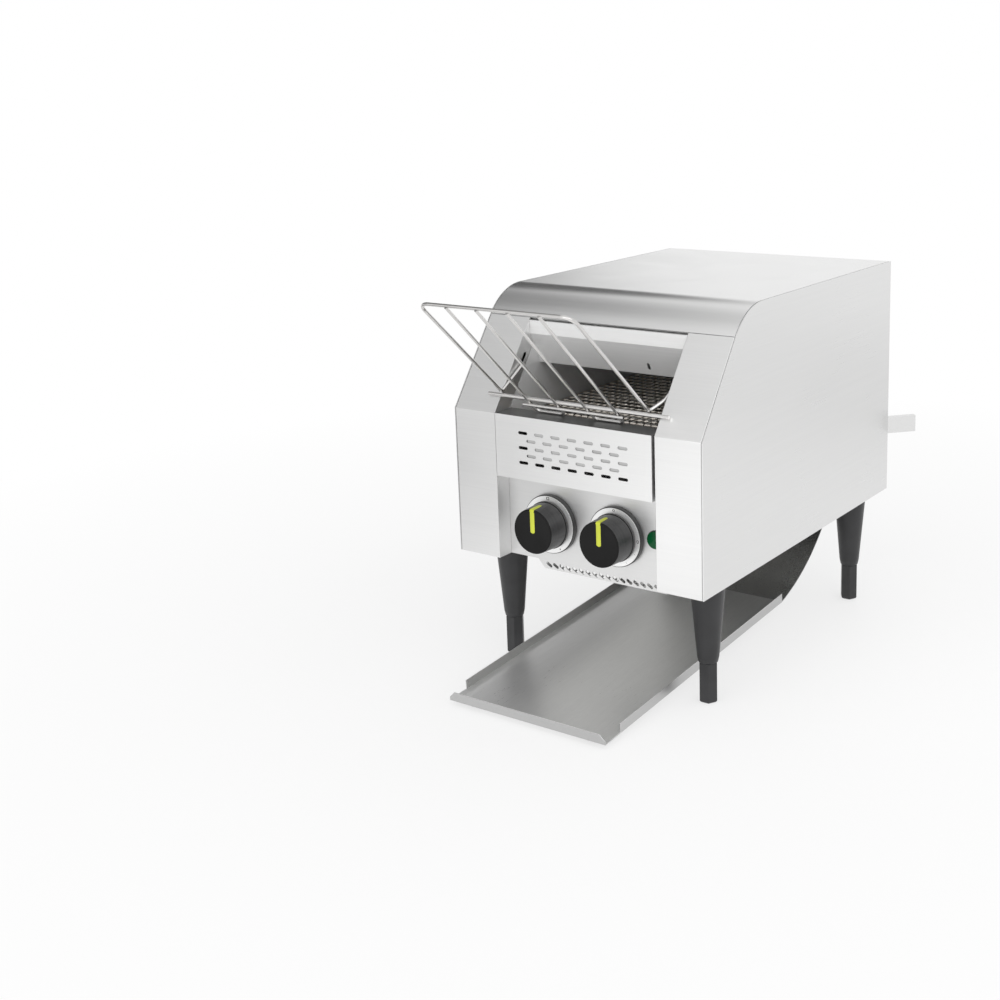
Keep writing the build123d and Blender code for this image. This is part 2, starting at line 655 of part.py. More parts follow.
def case_screws(hole=False):
    """Screws on the back, through the spacer and under the floor."""
    x = COVER_HALF - SCREW_FROM_EDGE
    low, high = BODY_BOTTOM + SCREW_FROM_END, BODY_TOP - SCREW_FROM_END
    places = [Pos(side * x, BODY_DEPTH, z) * Rot(90, 0, 0)
              for side in (-1, 1) for z in (low, (low + high) / 2 + SCREW_MIDDLE_RISE, high)]
    places += [Pos(side * SPACER_SCREW_X, SPACER_Y + SPACER_SHEET, SPACER_Z + SPACER_HEIGHT / 2)
               * Rot(90, 0, 0) for side in (-1, 1)]
    floor_rows = (PILLAR_RETURN + FLOOR_SCREW_FRONT, BODY_DEPTH / 2, BODY_DEPTH - FLOOR_SCREW_REAR)
    places += [Pos(side * x, y, BODY_BOTTOM) for side in (-1, 1) for y in floor_rows]
    return group(place * screw(hole) for place in places)


# ---------------------------------------------------------------- tunnel


def wall_holes():
    """Shaft and heater holes through the right-hand tunnel wall."""
    x0, x1 = TUNNEL_HALF - 1, TUNNEL_HALF + WALL_SHEET + 1
    holes = [bar_x(x0, x1, y, SHAFT_Z, BUSH_RADIUS) for y in (IDLER_Y, DRIVE_Y)]
    holes += [bar_x(x0, x1, y, z, HEATER_RADIUS + HEATER_PLAY) for y, z in upper_row() + lower_row()]
    return holes


def tunnel_wall(with_motor):
    """Right-hand tunnel wall with flanges on the floor and on the back."""
    inset = PILLAR_RETURN + WALL_GAP
    front = knee(inset)
    upper = seam(inset)
    bottom = FLOOR_TOP + LAP_GAP
    rear = BODY_DEPTH - SHEET - LAP_GAP
    outline = polygon([(inset + PANEL_SHEET, bottom), (inset + PANEL_SHEET, front[1]), upper,
                       (upper[0] + (WALL_TOP - upper[1]), WALL_TOP), (rear, WALL_TOP), (rear, bottom)])
    outer = TUNNEL_HALF + WALL_SHEET
    wall = across(outline, TUNNEL_HALF, outer)
    wall += block(TUNNEL_HALF, outer + FLANGE, inset + FLANGE, rear, bottom, bottom + WALL_SHEET)
    wall += block(TUNNEL_HALF, outer + FLANGE, rear - WALL_SHEET, rear, bottom, WALL_TOP)
    for hole in wall_holes():
        wall -= hole
    if with_motor:
        wall -= bar_x(TUNNEL_HALF - 1, outer + 1, MOTOR_Y, MOTOR_Z, CHAIN_HUB_RADIUS)
    return wall


def entry_baffle():
    """Bent plate over the feed opening: flange, upright face, slope and hem."""
    y, z = seam(0)
    z -= BAFFLE_DROP
    y -= SHEET
    line = [(y + BAFFLE_FLANGE, z), (y, z), (y, z - BAFFLE_FACE),
            (y + BAFFLE_SLOPE_RUN, z - BAFFLE_FACE - BAFFLE_SLOPE_DROP),
            (y + BAFFLE_SLOPE_RUN + BAFFLE_HEM, z - BAFFLE_FACE - BAFFLE_SLOPE_DROP)]
    half = TUNNEL_HALF - LAP_GAP
    plate = across(ribbon(line, SHEET), -half, half)
    hole = Pos(BAFFLE_HOLE_X, z - BAFFLE_FACE - BAFFLE_HOLE_DROP) * Rot(0, 0, 90) \
        * SlotOverall(BAFFLE_HOLE_LENGTH, BAFFLE_HOLE_WIDTH)
    return plate - along(hole, y - 1, y + BAFFLE_SLOPE_RUN + 1)


def compartment_cover():
    """Bent sheet that closes the electrical space under the belt."""
    front = PANEL_Y + FLANGE / 2 + SHEET
    top = COMPARTMENT_TOP
    line = [(front, KNEE_Z - SHEET), (front, top), (COMPARTMENT_REAR - SHEET, top),
            (COMPARTMENT_REAR - SHEET, FLOOR_TOP + LAP_GAP)]
    half = TUNNEL_HALF - LAP_GAP
    return across(ribbon(line, SHEET), -half, half)


def upper_reflector():
    """Trough over the upper heaters, with flanges against the tunnel walls."""
    half = TUNNEL_HALF - LAP_GAP
    line = [(REFLECTOR_FRONT, REFLECTOR_Z - REFLECTOR_LIP / 2), (REFLECTOR_FRONT, REFLECTOR_Z),
            (REFLECTOR_REAR, REFLECTOR_Z), (REFLECTOR_REAR, REFLECTOR_Z - REFLECTOR_LIP)]
    trough = across(ribbon(line, SHEET), -half, half)
    for side in (-1, 1):
        trough += block(side * half, side * (half - SHEET), REFLECTOR_FRONT, REFLECTOR_REAR,
                        REFLECTOR_Z, REFLECTOR_Z + FLANGE)
    return trough


# ---------------------------------------------------------------- heaters


def upper_row():
    places = row(IDLER_Y + UPPER_HEATER_AHEAD, DRIVE_Y - UPPER_HEATER_BEHIND, HEATERS)
    return [(y, UPPER_HEATER_Z) for y in places]


def lower_row():
    """Between the belt's two runs."""
    return [(y, SHAFT_Z) for y in row(IDLER_Y + LOWER_HEATER_INSET, DRIVE_Y - LOWER_HEATER_INSET, HEATERS)]


def heaters(places):
    """Quartz tubes with a terminal pin at each end."""
    reach = TUNNEL_HALF + WALL_SHEET + HEATER_CAP_LENGTH - HEATER_PIN / 3
    tubes = []
    for y, z in places:
        pin = bar_x(-reach - HEATER_PIN, reach + HEATER_PIN, y, z, HEATER_PIN_RADIUS)
        tubes.append(pin + bar_x(-reach, reach, y, z, HEATER_RADIUS))
    return group(tubes)


def heater_caps():
    """Ceramic holders for the tube ends, outside the tunnel walls."""
    caps = []
    inner = TUNNEL_HALF + WALL_SHEET + LAP_GAP
    for y, z in upper_row() + lower_row():
        cap = bar_x(inner, inner + HEATER_CAP_LENGTH, y, z, HEATER_CAP_RADIUS)
        cap -= bar_x(0, inner + HEATER_CAP_LENGTH + 1, y, z, HEATER_RADIUS + HEATER_CAP_PLAY)
        caps += [cap, mirrored(cap)]
    return group(caps)


# ---------------------------------------------------------------- belt and shafts


def toothed_wheel(teeth, pitch, roller, width, bore):
    """Wheel about X with a round slot for each rod or roller; one slot is at 0 degrees.

    The tips stop just inside the rods or rollers, so the wheel can turn under them.
    """
    tip = pitch / (2 * math.sin(math.pi / teeth)) - roller - TOOTH_GAP
    slot = Pos(tip, 0) * SlotCenterToCenter(2 * TOOTH_DEPTH, 2 * (roller + TOOTH_PLAY))
    disc = Circle(tip) - Circle(bore)
    for i in range(teeth):
        disc -= Rot(0, 0, i * 360 / teeth) * slot
    return across(disc, -width / 2, width / 2)


def roller_shaft(reach_left, reach_right, y):
    return bar_x(-reach_left, reach_right, y, SHAFT_Z, ROLLER_SHAFT_RADIUS)


def belt_wheels(y):
    wheel = toothed_wheel(BELT_TEETH, BELT_PITCH, ROD_RADIUS, WHEEL_WIDTH, ROLLER_SHAFT_RADIUS)
    hub = bar_x(-WHEEL_WIDTH, WHEEL_WIDTH, 0, 0, ROLLER_SHAFT_RADIUS + WHEEL_HUB)
    hub -= bar_x(-WHEEL_WIDTH - 1, WHEEL_WIDTH + 1, 0, 0, ROLLER_SHAFT_RADIUS)
    return group([Pos(x, y, SHAFT_Z) * (wheel + hub) for x in WHEEL_X])


def belt_rod_places():
    """Rod centres round the belt, one pitch apart."""
    places = []
    for i in range(BELT_BAYS + 1):
        places += [(IDLER_Y + i * BELT_PITCH, SHAFT_Z + BELT_RADIUS),
                   (IDLER_Y + i * BELT_PITCH, SHAFT_Z - BELT_RADIUS)]
    for i in range(1, BELT_TEETH // 2):
        turn = math.radians(90 - i * 360 / BELT_TEETH)
        reach, rise = BELT_RADIUS * math.cos(turn), BELT_RADIUS * math.sin(turn)
        places += [(DRIVE_Y + reach, SHAFT_Z + rise), (IDLER_Y - reach, SHAFT_Z + rise)]
    return places


def belt_loop(radius):
    middle = Pos((IDLER_Y + DRIVE_Y) / 2, SHAFT_Z)
    return middle * SlotCenterToCenter(DRIVE_Y - IDLER_Y, 2 * radius)


def conveyor_belt():
    """Wire belt: cross rods joined by narrow bands of links, in four stretches.

    The stretches are the upper and lower runs and the two turns. They meet face
    to face in the bands, halfway between two rods.
    """
    half_thick = BELT_BAND_THICK / 2
    loop = belt_loop(BELT_RADIUS + half_thick) - belt_loop(BELT_RADIUS - half_thick)
    reach = BELT_RADIUS + BELT_PITCH
    front, rear = IDLER_Y + BELT_PITCH / 2, DRIVE_Y - BELT_PITCH / 2
    zones = [(front, rear, SHAFT_Z, SHAFT_Z + reach), (front, rear, SHAFT_Z - reach, SHAFT_Z),
             (IDLER_Y - reach, front, SHAFT_Z - reach, SHAFT_Z + reach),
             (rear, DRIVE_Y + reach, SHAFT_Z - reach, SHAFT_Z + reach)]
    stretches = []
    for y0, y1, z0, z1 in zones:
        band = loop & polygon([(y0, z0), (y1, z0), (y1, z1), (y0, z1)])
        bands = []
        for i in range(-BELT_BANDS, BELT_BANDS + 1):
            if i != 0:
                middle = i * BELT_BAND_PITCH
                bands.append(across(band, middle - BELT_BAND_WIDTH / 2, middle + BELT_BAND_WIDTH / 2))
        rods = [bar_x(-BELT_HALF, BELT_HALF, y, z, ROD_RADIUS)
                for y, z in belt_rod_places() if y0 < y < y1 and z0 < z < z1]
        stretches.append(rods[0].fuse(*(rods[1:] + bands)))
    return group(stretches)


def shaft_bushes():
    """Flanged plain bearings in the tunnel walls."""
    inner = TUNNEL_HALF - BUSH_FLANGE - LAP_GAP
    bushes = []
    for y in (IDLER_Y, DRIVE_Y):
        bush = bar_x(inner, TUNNEL_HALF - LAP_GAP, y, SHAFT_Z, BUSH_FLANGE_RADIUS)
        bush += bar_x(inner, inner + BUSH_LENGTH, y, SHAFT_Z, BUSH_RADIUS - BUSH_PLAY)
        bush -= bar_x(0, HALF_WIDTH, y, SHAFT_Z, ROLLER_SHAFT_RADIUS + ROLLER_SHAFT_PLAY)
        bushes += [bush, mirrored(bush)]
    return group(bushes)


# ---------------------------------------------------------------- chain drive


def chain_radius(teeth):
    return CHAIN_PITCH / (2 * math.sin(math.pi / teeth))


def chain_angles():
    """Direction from motor to drive shaft, and of the tangent points from it."""
    dy, dz = DRIVE_Y - MOTOR_Y, SHAFT_Z - MOTOR_Z
    step = (chain_radius(DRIVE_TEETH) - chain_radius(MOTOR_TEETH)) / math.hypot(dy, dz)
    return math.degrees(math.atan2(dz, dy)), 90 + math.degrees(math.asin(step))


def on_circle(centre, radius, degrees):
    turn = math.radians(degrees)
    return (centre[0] + radius * math.cos(turn), centre[1] + radius * math.sin(turn))


def chain_rollers():
    """Roller centres: in the wheels' seats, and evenly along the two runs."""
    heading, spread = chain_angles()
    drive, motor = (DRIVE_Y, SHAFT_Z), (MOTOR_Y, MOTOR_Z)
    drive_step, motor_step = 360 / DRIVE_TEETH, 360 / MOTOR_TEETH
    on_drive = [on_circle(drive, chain_radius(DRIVE_TEETH), heading + spread - i * drive_step)
                for i in range(int(2 * spread / drive_step) + 1)]
    on_motor = [on_circle(motor, chain_radius(MOTOR_TEETH), heading + spread + i * motor_step)
                for i in range(int((360 - 2 * spread) / motor_step) + 1)]
    rollers = on_drive + on_motor
    for turn in (heading + spread, heading - spread):
        y0, z0 = on_circle(drive, chain_radius(DRIVE_TEETH), turn)
        y1, z1 = on_circle(motor, chain_radius(MOTOR_TEETH), turn)
        bays = round(math.hypot(y1 - y0, z1 - z0) / CHAIN_PITCH)
        rollers += [(y0 + (y1 - y0) * i / bays, z0 + (z1 - z0) * i / bays) for i in range(2, bays - 1)]
    return rollers


def chain_loop(extra):
    """Area inside the chain's line, grown by extra."""
    heading, spread = chain_angles()
    drive, motor = (DRIVE_Y, SHAFT_Z), (MOTOR_Y, MOTOR_Z)
    big, small = chain_radius(DRIVE_TEETH) + extra, chain_radius(MOTOR_TEETH) + extra
    corners = [on_circle(drive, big, heading + spread), on_circle(motor, small, heading + spread),
               on_circle(motor, small, heading - spread), on_circle(drive, big, heading - spread)]
    return polygon(corners) + Pos(*drive) * Circle(big) + Pos(*motor) * Circle(small)


def drive_chain():
    half = CHAIN_PLATE_HEIGHT / 2
    band = chain_loop(half) - chain_loop(-half)
    outer = CHAIN_WIDTH / 2
    plate = across(band, -CHAIN_PLATE / 2, CHAIN_PLATE / 2)
    plates = [Pos(CHAIN_X + side * outer, 0, 0) * plate for side in (-1, 1)]
    rollers = [bar_x(CHAIN_X - outer, CHAIN_X + outer, y, z, CHAIN_ROLLER_RADIUS)
               for y, z in chain_rollers()]
    return plates[0].fuse(*(plates[1:] + rollers))


def chain_wheel(teeth, y, z):
    heading, spread = chain_angles()
    bore = ROLLER_SHAFT_RADIUS
    wheel = toothed_wheel(teeth, CHAIN_PITCH, CHAIN_ROLLER_RADIUS, CHAIN_WHEEL_WIDTH, bore)
    hub_end = CHAIN_WHEEL_WIDTH / 2 + CHAIN_HUB_LENGTH
    hub = bar_x(-CHAIN_WHEEL_WIDTH / 2, hub_end, 0, 0, CHAIN_HUB_RADIUS)
    hub -= bar_x(-hub_end, hub_end + 1, 0, 0, bore)
    return Pos(CHAIN_X, y, z) * Rot(heading + spread, 0, 0) * (wheel + hub)


def gear_motor():
    """Flat gearbox with a round motor behind it."""
    face = TUNNEL_HALF - LAP_GAP - MOTOR_BRACKET
    half = GEARBOX_SIZE / 2
    gearbox = block(face - GEARBOX_DEPTH, face, MOTOR_Y - half, MOTOR_Y + half,
                    MOTOR_Z - half, MOTOR_Z + half)
    gearbox = fillet(gearbox.edges().filter_by(Axis.X), GEARBOX_CORNER)
    can = bar_x(face - GEARBOX_DEPTH - MOTOR_CAN_LENGTH, face - GEARBOX_DEPTH, MOTOR_Y, MOTOR_Z,
                MOTOR_CAN_RADIUS)
    bore = bar_x(face - GEARBOX_DEPTH / 2, face + 1, MOTOR_Y, MOTOR_Z,
                 ROLLER_SHAFT_RADIUS + ROLLER_SHAFT_PLAY)
    return gearbox + can - bore


def motor_bracket():
    """Angle plate between the gearbox, the tunnel wall and the floor."""
    outer = TUNNEL_HALF - LAP_GAP
    half = GEARBOX_SIZE / 2
    floor = FLOOR_TOP + LAP_GAP
    plate = block(outer - MOTOR_BRACKET, outer, MOTOR_Y - half, MOTOR_Y + half, floor, MOTOR_Z + half)
    plate += block(outer - GEARBOX_DEPTH, outer, MOTOR_Y - half, MOTOR_Y + half,
                   floor, floor + MOTOR_BRACKET)
    return plate - bar_x(0, HALF_WIDTH, MOTOR_Y, MOTOR_Z, CHAIN_HUB_RADIUS)


def motor_shaft():
    start = TUNNEL_HALF - LAP_GAP - MOTOR_BRACKET - GEARBOX_DEPTH / 2
    end = CHAIN_X + CHAIN_HUB_LENGTH + CHAIN_WHEEL_WIDTH
    return bar_x(start, end, MOTOR_Y, MOTOR_Z, ROLLER_SHAFT_RADIUS)


# ---------------------------------------------------------------- knobs, dials, lamp


def knob_body(grow):
    """Knob about Y, at x = 0 and z = 0, grown outward by the given amount."""
    face = KNOB_FACE_Y - grow
    back = KNOB_BACK_Y
    skirt_y = back - KNOB_SKIRT
    profile = polygon([(0, face), (KNOB_FACE_RADIUS - KNOB_EDGE + grow / 2, face),
                       (KNOB_FACE_RADIUS + grow, face + KNOB_EDGE + grow / 2),
                       (KNOB_ROOT_RADIUS + grow, skirt_y), (KNOB_SKIRT_RADIUS + grow, skirt_y),
                       (KNOB_SKIRT_RADIUS + grow, back), (0, back)])
    return revolve(profile, Axis.Y)


def pointer_zone():
    half = POINTER_WIDTH / 2
    return block(-half, half, KNOB_FACE_Y - 2, KNOB_FACE_Y + POINTER_SIDE_LENGTH, -1, KNOB_SKIRT_RADIUS)


def knob(side):
    """Knob with a blind shaft bore and a groove for its pointer."""
    bore_end = KNOB_BACK_Y - SHAFT_IN_KNOB - SHAFT_END_GAP
    body = knob_body(0) - bar_y(0, bore_end, KNOB_BACK_Y + 1, 0, SHAFT_RADIUS + SHAFT_PLAY)
    groove = pointer_zone() - knob_body(-POINTER_DEPTH)
    return Pos(knob_x(side), 0, KNOB_Z) * (body - groove)


def pointer(side):
    inlay = (knob_body(POINTER_PROUD) - knob_body(-POINTER_DEPTH)) & pointer_zone()
    return Pos(knob_x(side), 0, KNOB_Z) * inlay


def knob_shaft(side):
    return bar_y(knob_x(side), KNOB_BACK_Y - SHAFT_IN_KNOB, PANEL_Y + PANEL_SHEET + SHAFT_IN_SWITCH,
                 KNOB_Z, SHAFT_RADIUS)


def dial_discs(y0, y1, radius):
    """The same disc behind each knob, with a hole for the shaft."""
    discs = []
    for side in (-1, 1):
        disc = bar_y(knob_x(side), y0, y1, KNOB_Z, radius)
        discs.append(disc - bar_y(knob_x(side), y0 - 1, y1 + 1, KNOB_Z, SHAFT_HOLE_RADIUS))
    return group(discs)


def switch_bore(x):
    back = PANEL_Y + PANEL_SHEET
    return bar_y(x, back - 1, back + SHAFT_IN_SWITCH + SHAFT_END_GAP, KNOB_Z, SHAFT_RADIUS + SHAFT_PLAY)


def function_switch():
    """Rotary heat selector behind the left-hand knob."""
    x = knob_x(-1)
    half = SWITCH_SIZE / 2
    back = PANEL_Y + PANEL_SHEET
    body = block(x - half, x + half, back, back + SWITCH_DEPTH, KNOB_Z - half, KNOB_Z + half)
    body = fillet(body.edges().filter_by(Axis.Y), SWITCH_CORNER)
    return body - switch_bore(x)


def speed_regulator():
    """Round regulator behind the right-hand knob, with its terminal lugs."""
    x = knob_x(1)
    back = PANEL_Y + PANEL_SHEET
    body = bar_y(x, back, back + REGULATOR_DEPTH, KNOB_Z, REGULATOR_RADIUS)
    lug_y = back + REGULATOR_DEPTH - LUG_FROM_BACK
    for lug_x in (x - LUG_PITCH, x, x + LUG_PITCH):
        body += block(lug_x - LUG_WIDTH / 2, lug_x + LUG_WIDTH / 2, lug_y - LUG_THICK, lug_y,
                      KNOB_Z - REGULATOR_RADIUS - LUG_REACH, KNOB_Z)
    return body - switch_bore(x)


def lamp_lens():
    """Green lens with a rounded front, over the lamp's neck."""
    lens = bar_y(LAMP_X, PANEL_Y - LAMP_PROUD, PANEL_Y - LAMP_BEZEL, LAMP_Z, LAMP_RADIUS)
    return fillet(lens.edges().sort_by(Axis.Y)[0], LAMP_EDGE)


def lamp_body():
    """Lamp housing: bezel in front of the panel and neck behind it."""
    bezel = bar_y(LAMP_X, PANEL_Y - LAMP_BEZEL, PANEL_Y, LAMP_Z, LAMP_RADIUS + LAMP_BEZEL)
    return bezel + bar_y(LAMP_X, PANEL_Y, PANEL_Y + LAMP_DEPTH, LAMP_Z, LAMP_NECK_RADIUS)


# ---------------------------------------------------------------- fan, terminals, cable inlet


def fan_frame():
    """Square fan housing with a round duct and a spider that holds the axle."""
    base = FLOOR_TOP + LAP_GAP
    half = FAN_SIZE / 2
    frame = block(FAN_X - half, FAN_X + half, FAN_Y - half, FAN_Y + half, base, base + FAN_DEPTH)
    frame = fillet(frame.edges().filter_by(Axis.Z), FAN_CORNER)
    frame -= bar_z(FAN_X, FAN_Y, base - 1, base + FAN_DEPTH + 1, FAN_BORE_RADIUS)
    spider = bar_z(FAN_X, FAN_Y, base, base + FAN_SPIDER, FAN_HUB_RADIUS)
    arm = Box(2 * FAN_BORE_RADIUS + FAN_ARM_WIDTH / 2, FAN_ARM_WIDTH, FAN_SPIDER)
    for turn in (45, 135):
        spider += Pos(FAN_X, FAN_Y, base + FAN_SPIDER / 2) * Rot(0, 0, turn) * arm
    spider -= bar_z(FAN_X, FAN_Y, base - 1, base + FAN_SPIDER + 1, FAN_AXLE_RADIUS + FAN_AXLE_PLAY)
    return frame + spider


def fan_rotor():
    """Hub with pitched blades and its axle."""
    base = FLOOR_TOP + LAP_GAP
    low, high = base + FAN_SPIDER + FAN_ROTOR_GAP, base + FAN_DEPTH - FAN_ROTOR_GAP
    rotor = bar_z(FAN_X, FAN_Y, low, high, FAN_HUB_RADIUS)
    rotor += bar_z(FAN_X, FAN_Y, base, low, FAN_AXLE_RADIUS)
    span = FAN_TIP_RADIUS - FAN_HUB_RADIUS + FAN_BLADE_ROOT
    blade = Pos(FAN_HUB_RADIUS - FAN_BLADE_ROOT + span / 2, 0, 0) * Rot(FAN_BLADE_PITCH, 0, 0) \
        * Box(span, FAN_BLADE_CHORD, FAN_BLADE_THICK)
    for i in range(FAN_BLADES):
        turn = Rot(0, 0, i * 360 / FAN_BLADES)
        rotor += Pos(FAN_X, FAN_Y, (low + high) / 2) * turn * blade
    return rotor & bar_z(FAN_X, FAN_Y, base, high, FAN_TIP_RADIUS)


def terminal_block():
    """Screw terminals for the mains lead, on the floor near the cable gland."""
    base = FLOOR_TOP + LAP_GAP
    y = BODY_DEPTH - TERMINAL_FROM_REAR
    left, right = TERMINAL_X - TERMINAL_LENGTH / 2, TERMINAL_X + TERMINAL_LENGTH / 2
    front, rear = y - TERMINAL_WIDTH / 2, y + TERMINAL_WIDTH / 2
    top = base + TERMINAL_HEIGHT
    half_pitch = TERMINAL_LENGTH / TERMINAL_WAYS / 2
    body = block(left, right, front, rear, base, top)
    for x in row(left + half_pitch, right - half_pitch, TERMINAL_WAYS):
        body -= bar_z(x, y, top - TERMINAL_SCREW_DEPTH, top + 1, TERMINAL_SCREW_RADIUS)
    for x in row(left + 2 * half_pitch, right - 2 * half_pitch, TERMINAL_WAYS - 1):
        body += block(x - TERMINAL_WALL / 2, x + TERMINAL_WALL / 2, front, rear,
                      base, top + TERMINAL_WALL_RISE)
    return body


def control_board():
    """Speed control board on four posts."""
    base = FLOOR_TOP + LAP_GAP
    y = BODY_DEPTH - BOARD_FROM_REAR
    half_x, half_y = BOARD_LENGTH / 2, BOARD_WIDTH / 2
    low = base + BOARD_LIFT
    top = low + BOARD_THICK
    board = block(BOARD_X - half_x, BOARD_X + half_x, y - half_y, y + half_y, low, top)
    for post_x in (BOARD_X - half_x + BOARD_POST_INSET, BOARD_X + half_x - BOARD_POST_INSET):
        for post_y in (y - half_y + BOARD_POST_INSET, y + half_y - BOARD_POST_INSET):
            board += bar_z(post_x, post_y, base, low, BOARD_POST_RADIUS)
    for part_x, part_y, length, width, height in BOARD_PARTS:
        board += Pos(BOARD_X + part_x, y + part_y, top + height / 2) * Box(length, width, height)
    can_x, can_y = BOARD_X + CAPACITOR_PLACE[0], y + CAPACITOR_PLACE[1]
    return board + bar_z(can_x, can_y, top, top + CAPACITOR_HEIGHT, CAPACITOR_RADIUS)


def cable_gland():
    """Gland on the back that a mains lead would come through."""
    end = BODY_DEPTH + GLAND_LENGTH
    nut = RegularPolygon(GLAND_RADIUS, 6, major_radius=False)
    gland = Pos(GLAND_X, BODY_DEPTH, GLAND_Z) * Rot(-90, 0, 0) * extrude(nut, GLAND_LENGTH / 3)
    gland += bar_y(GLAND_X, BODY_DEPTH, end, GLAND_Z, GLAND_RADIUS - GLAND_BARREL_INSET)
    gland += bar_y(GLAND_X, BODY_DEPTH - FLANGE, BODY_DEPTH, GLAND_Z, GLAND_BORE_RADIUS + GLAND_NECK_WALL)
    return gland - bar_y(GLAND_X, BODY_DEPTH - FLANGE - 1, end + 1, GLAND_Z, GLAND_BORE_RADIUS)


# ---------------------------------------------------------------- legs


def leg_places():
    x = HALF_WIDTH - LEG_FROM_SIDE
    rear = BODY_DEPTH - LEG_FROM_REAR
    return {"front_left": (-x, LEG_FROM_FRONT), "front_right": (x, LEG_FROM_FRONT),
            "rear_left": (-x, rear), "rear_right": (x, rear)}


def leg(x, y):
    """Tapered sleeve with a flange under the floor and a bore for the foot's stud."""
    flange_z = BODY_BOTTOM - LEG_FLANGE
    profile = polygon([(0, BODY_BOTTOM), (LEG_FLANGE_RADIUS, BODY_BOTTOM), (LEG_FLANGE_RADIUS, flange_z),
                       (LEG_TOP_RADIUS, flange_z), (LEG_LOW_RADIUS, LEG_LOW_Z),
                       (LEG_END_RADIUS, LEG_END_Z), (0, LEG_END_Z)])
    sleeve = revolve(Plane.XZ * profile, Axis.Z)
    stud_hole = bar_z(0, 0, LEG_END_Z - 1, LEG_END_Z + FOOT_STUD_LENGTH + 1,
                      FOOT_STUD_RADIUS + FOOT_STUD_PLAY)
    stud = bar_z(0, 0, BODY_BOTTOM, BODY_BOTTOM + LEG_STUD, LEG_STUD_RADIUS)
    return Pos(x, y, 0) * (sleeve - stud_hole + stud)


def foot(x, y):
    """Hexagonal foot on a stud that screws up into the sleeve."""
    top = LEG_END_Z - FOOT_GAP
    prism = extrude(RegularPolygon(FOOT_FLATS / 2, 6, major_radius=False), top)
    prism = chamfer(prism.faces().sort_by(Axis.Z)[0].edges(), FOOT_CHAMFER)
    return Pos(x, y, 0) * (prism + bar_z(0, 0, top, top + FOOT_STUD_LENGTH, FOOT_STUD_RADIUS))


# ---------------------------------------------------------------- exit tray and chute


def tray_bottom(y):
    """Height of the tray's underside."""
    return TRAY_FRONT_Z + (y - TRAY_FRONT_Y) * math.tan(math.radians(TRAY_TILT))


def exit_tray():
    """Sloping tray with low sides and a front lip, notched at its front corners."""
    length = (TRAY_REAR_Y - TRAY_FRONT_Y) / math.cos(math.radians(TRAY_TILT))
    tray = block(-TRAY_HALF, TRAY_HALF, 0, length, 0, SHEET)
    for side in (-1, 1):
        wall = polygon([(TRAY_NOTCH, 0), (length, 0), (length, TRAY_SIDE), (TRAY_NOTCH, TRAY_SIDE)])
        tray += Pos(side * (TRAY_HALF - SHEET / 2), 0, 0) * across(wall, -SHEET / 2, SHEET / 2)
    lip = polygon([(-TRAY_HALF, 0), (TRAY_HALF, 0), (TRAY_HALF, TRAY_LIP - TRAY_CORNER),
                   (TRAY_HALF - TRAY_CORNER, TRAY_LIP), (TRAY_CORNER - TRAY_HALF, TRAY_LIP),
                   (-TRAY_HALF, TRAY_LIP - TRAY_CORNER)])
    tray += along(lip, 0, SHEET)
    return Pos(0, TRAY_FRONT_Y, TRAY_FRONT_Z) * Rot(TRAY_TILT, 0, 0) * tray


def tray_pads():
    """Rubber pads under the tray's front."""
    y = TRAY_FRONT_Y + TRAY_PAD_BACK
    top = tray_bottom(y - TRAY_PAD_RADIUS) - LAP_GAP
    return group(bar_z(side * TRAY_PAD_X, y, 0, top, TRAY_PAD_RADIUS) for side in (-1, 1))


def chute_start():
    y = TRAY_REAR_Y + CHUTE_PAST_TRAY
    return (y, tray_bottom(y) - CHUTE_PLAY)


def chute_centre():
    y, z = chute_start()
    turn = math.radians(CHUTE_START_ANGLE)
    return (y - CHUTE_RADIUS * math.sin(turn), z + CHUTE_RADIUS * math.cos(turn))


def exit_chute():
    """Curved sheet that turns the dropping toast forward, onto the tray."""
    centre = chute_centre()
    start = chute_start()
    sweep = CHUTE_END_ANGLE - CHUTE_START_ANGLE
    arcs = [CenterArc(centre, radius, CHUTE_START_ANGLE - 90, sweep)
            for radius in (CHUTE_RADIUS, CHUTE_RADIUS + SHEET)]
    curve = make_face([arcs[0], Line(arcs[0] @ 1, arcs[1] @ 1), arcs[1], Line(arcs[1] @ 0, arcs[0] @ 0)])
    chute = across(curve, -CHUTE_HALF, CHUTE_HALF)
    lip_y = start[0] - CHUTE_LIP
    lip_z = tray_bottom(lip_y) - CHUTE_PLAY
    lip = ribbon([(lip_y, lip_z), (start[0] + CHUTE_OVERLAP, start[1])], -SHEET)
    chute += across(lip, -CHUTE_HALF, CHUTE_HALF)
    bend_y, bend_z = on_circle(centre, CHUTE_RADIUS, CHUTE_END_ANGLE - 90)
    half = TUNNEL_HALF - LAP_GAP
    chute += block(-half, half, bend_y, bend_y + SHEET, bend_z - CHUTE_OVERLAP, CHUTE_TOP)
    for side in (-1, 1):
        chute += block(side * half, side * (half - SHEET), bend_y - FLANGE, bend_y + SHEET,
                       bend_z + FLANGE, CHUTE_TOP)
    return chute


# ---------------------------------------------------------------- bread rack


def wire(points, radius, bend):
    """Bent round wire through the points, with one bend radius for each corner."""
    path = FilletPolyline(*points, radius=bend)
    start = Vector(*points[0])
    heading = Vector(*points[1]) - start
    section = Plane(origin=start, z_dir=heading) * Circle(radius)
    return sweep(section, path=path, transition=Transition.ROUND)


def rack_rod_z():
    """Height of the long rod that lies on the pillars' sloping faces."""
    return KNEE_Z + (RACK_ROD_Y * FACE_SIN + RACK_ROD_RADIUS + RACK_REST_GAP) / FACE_COS


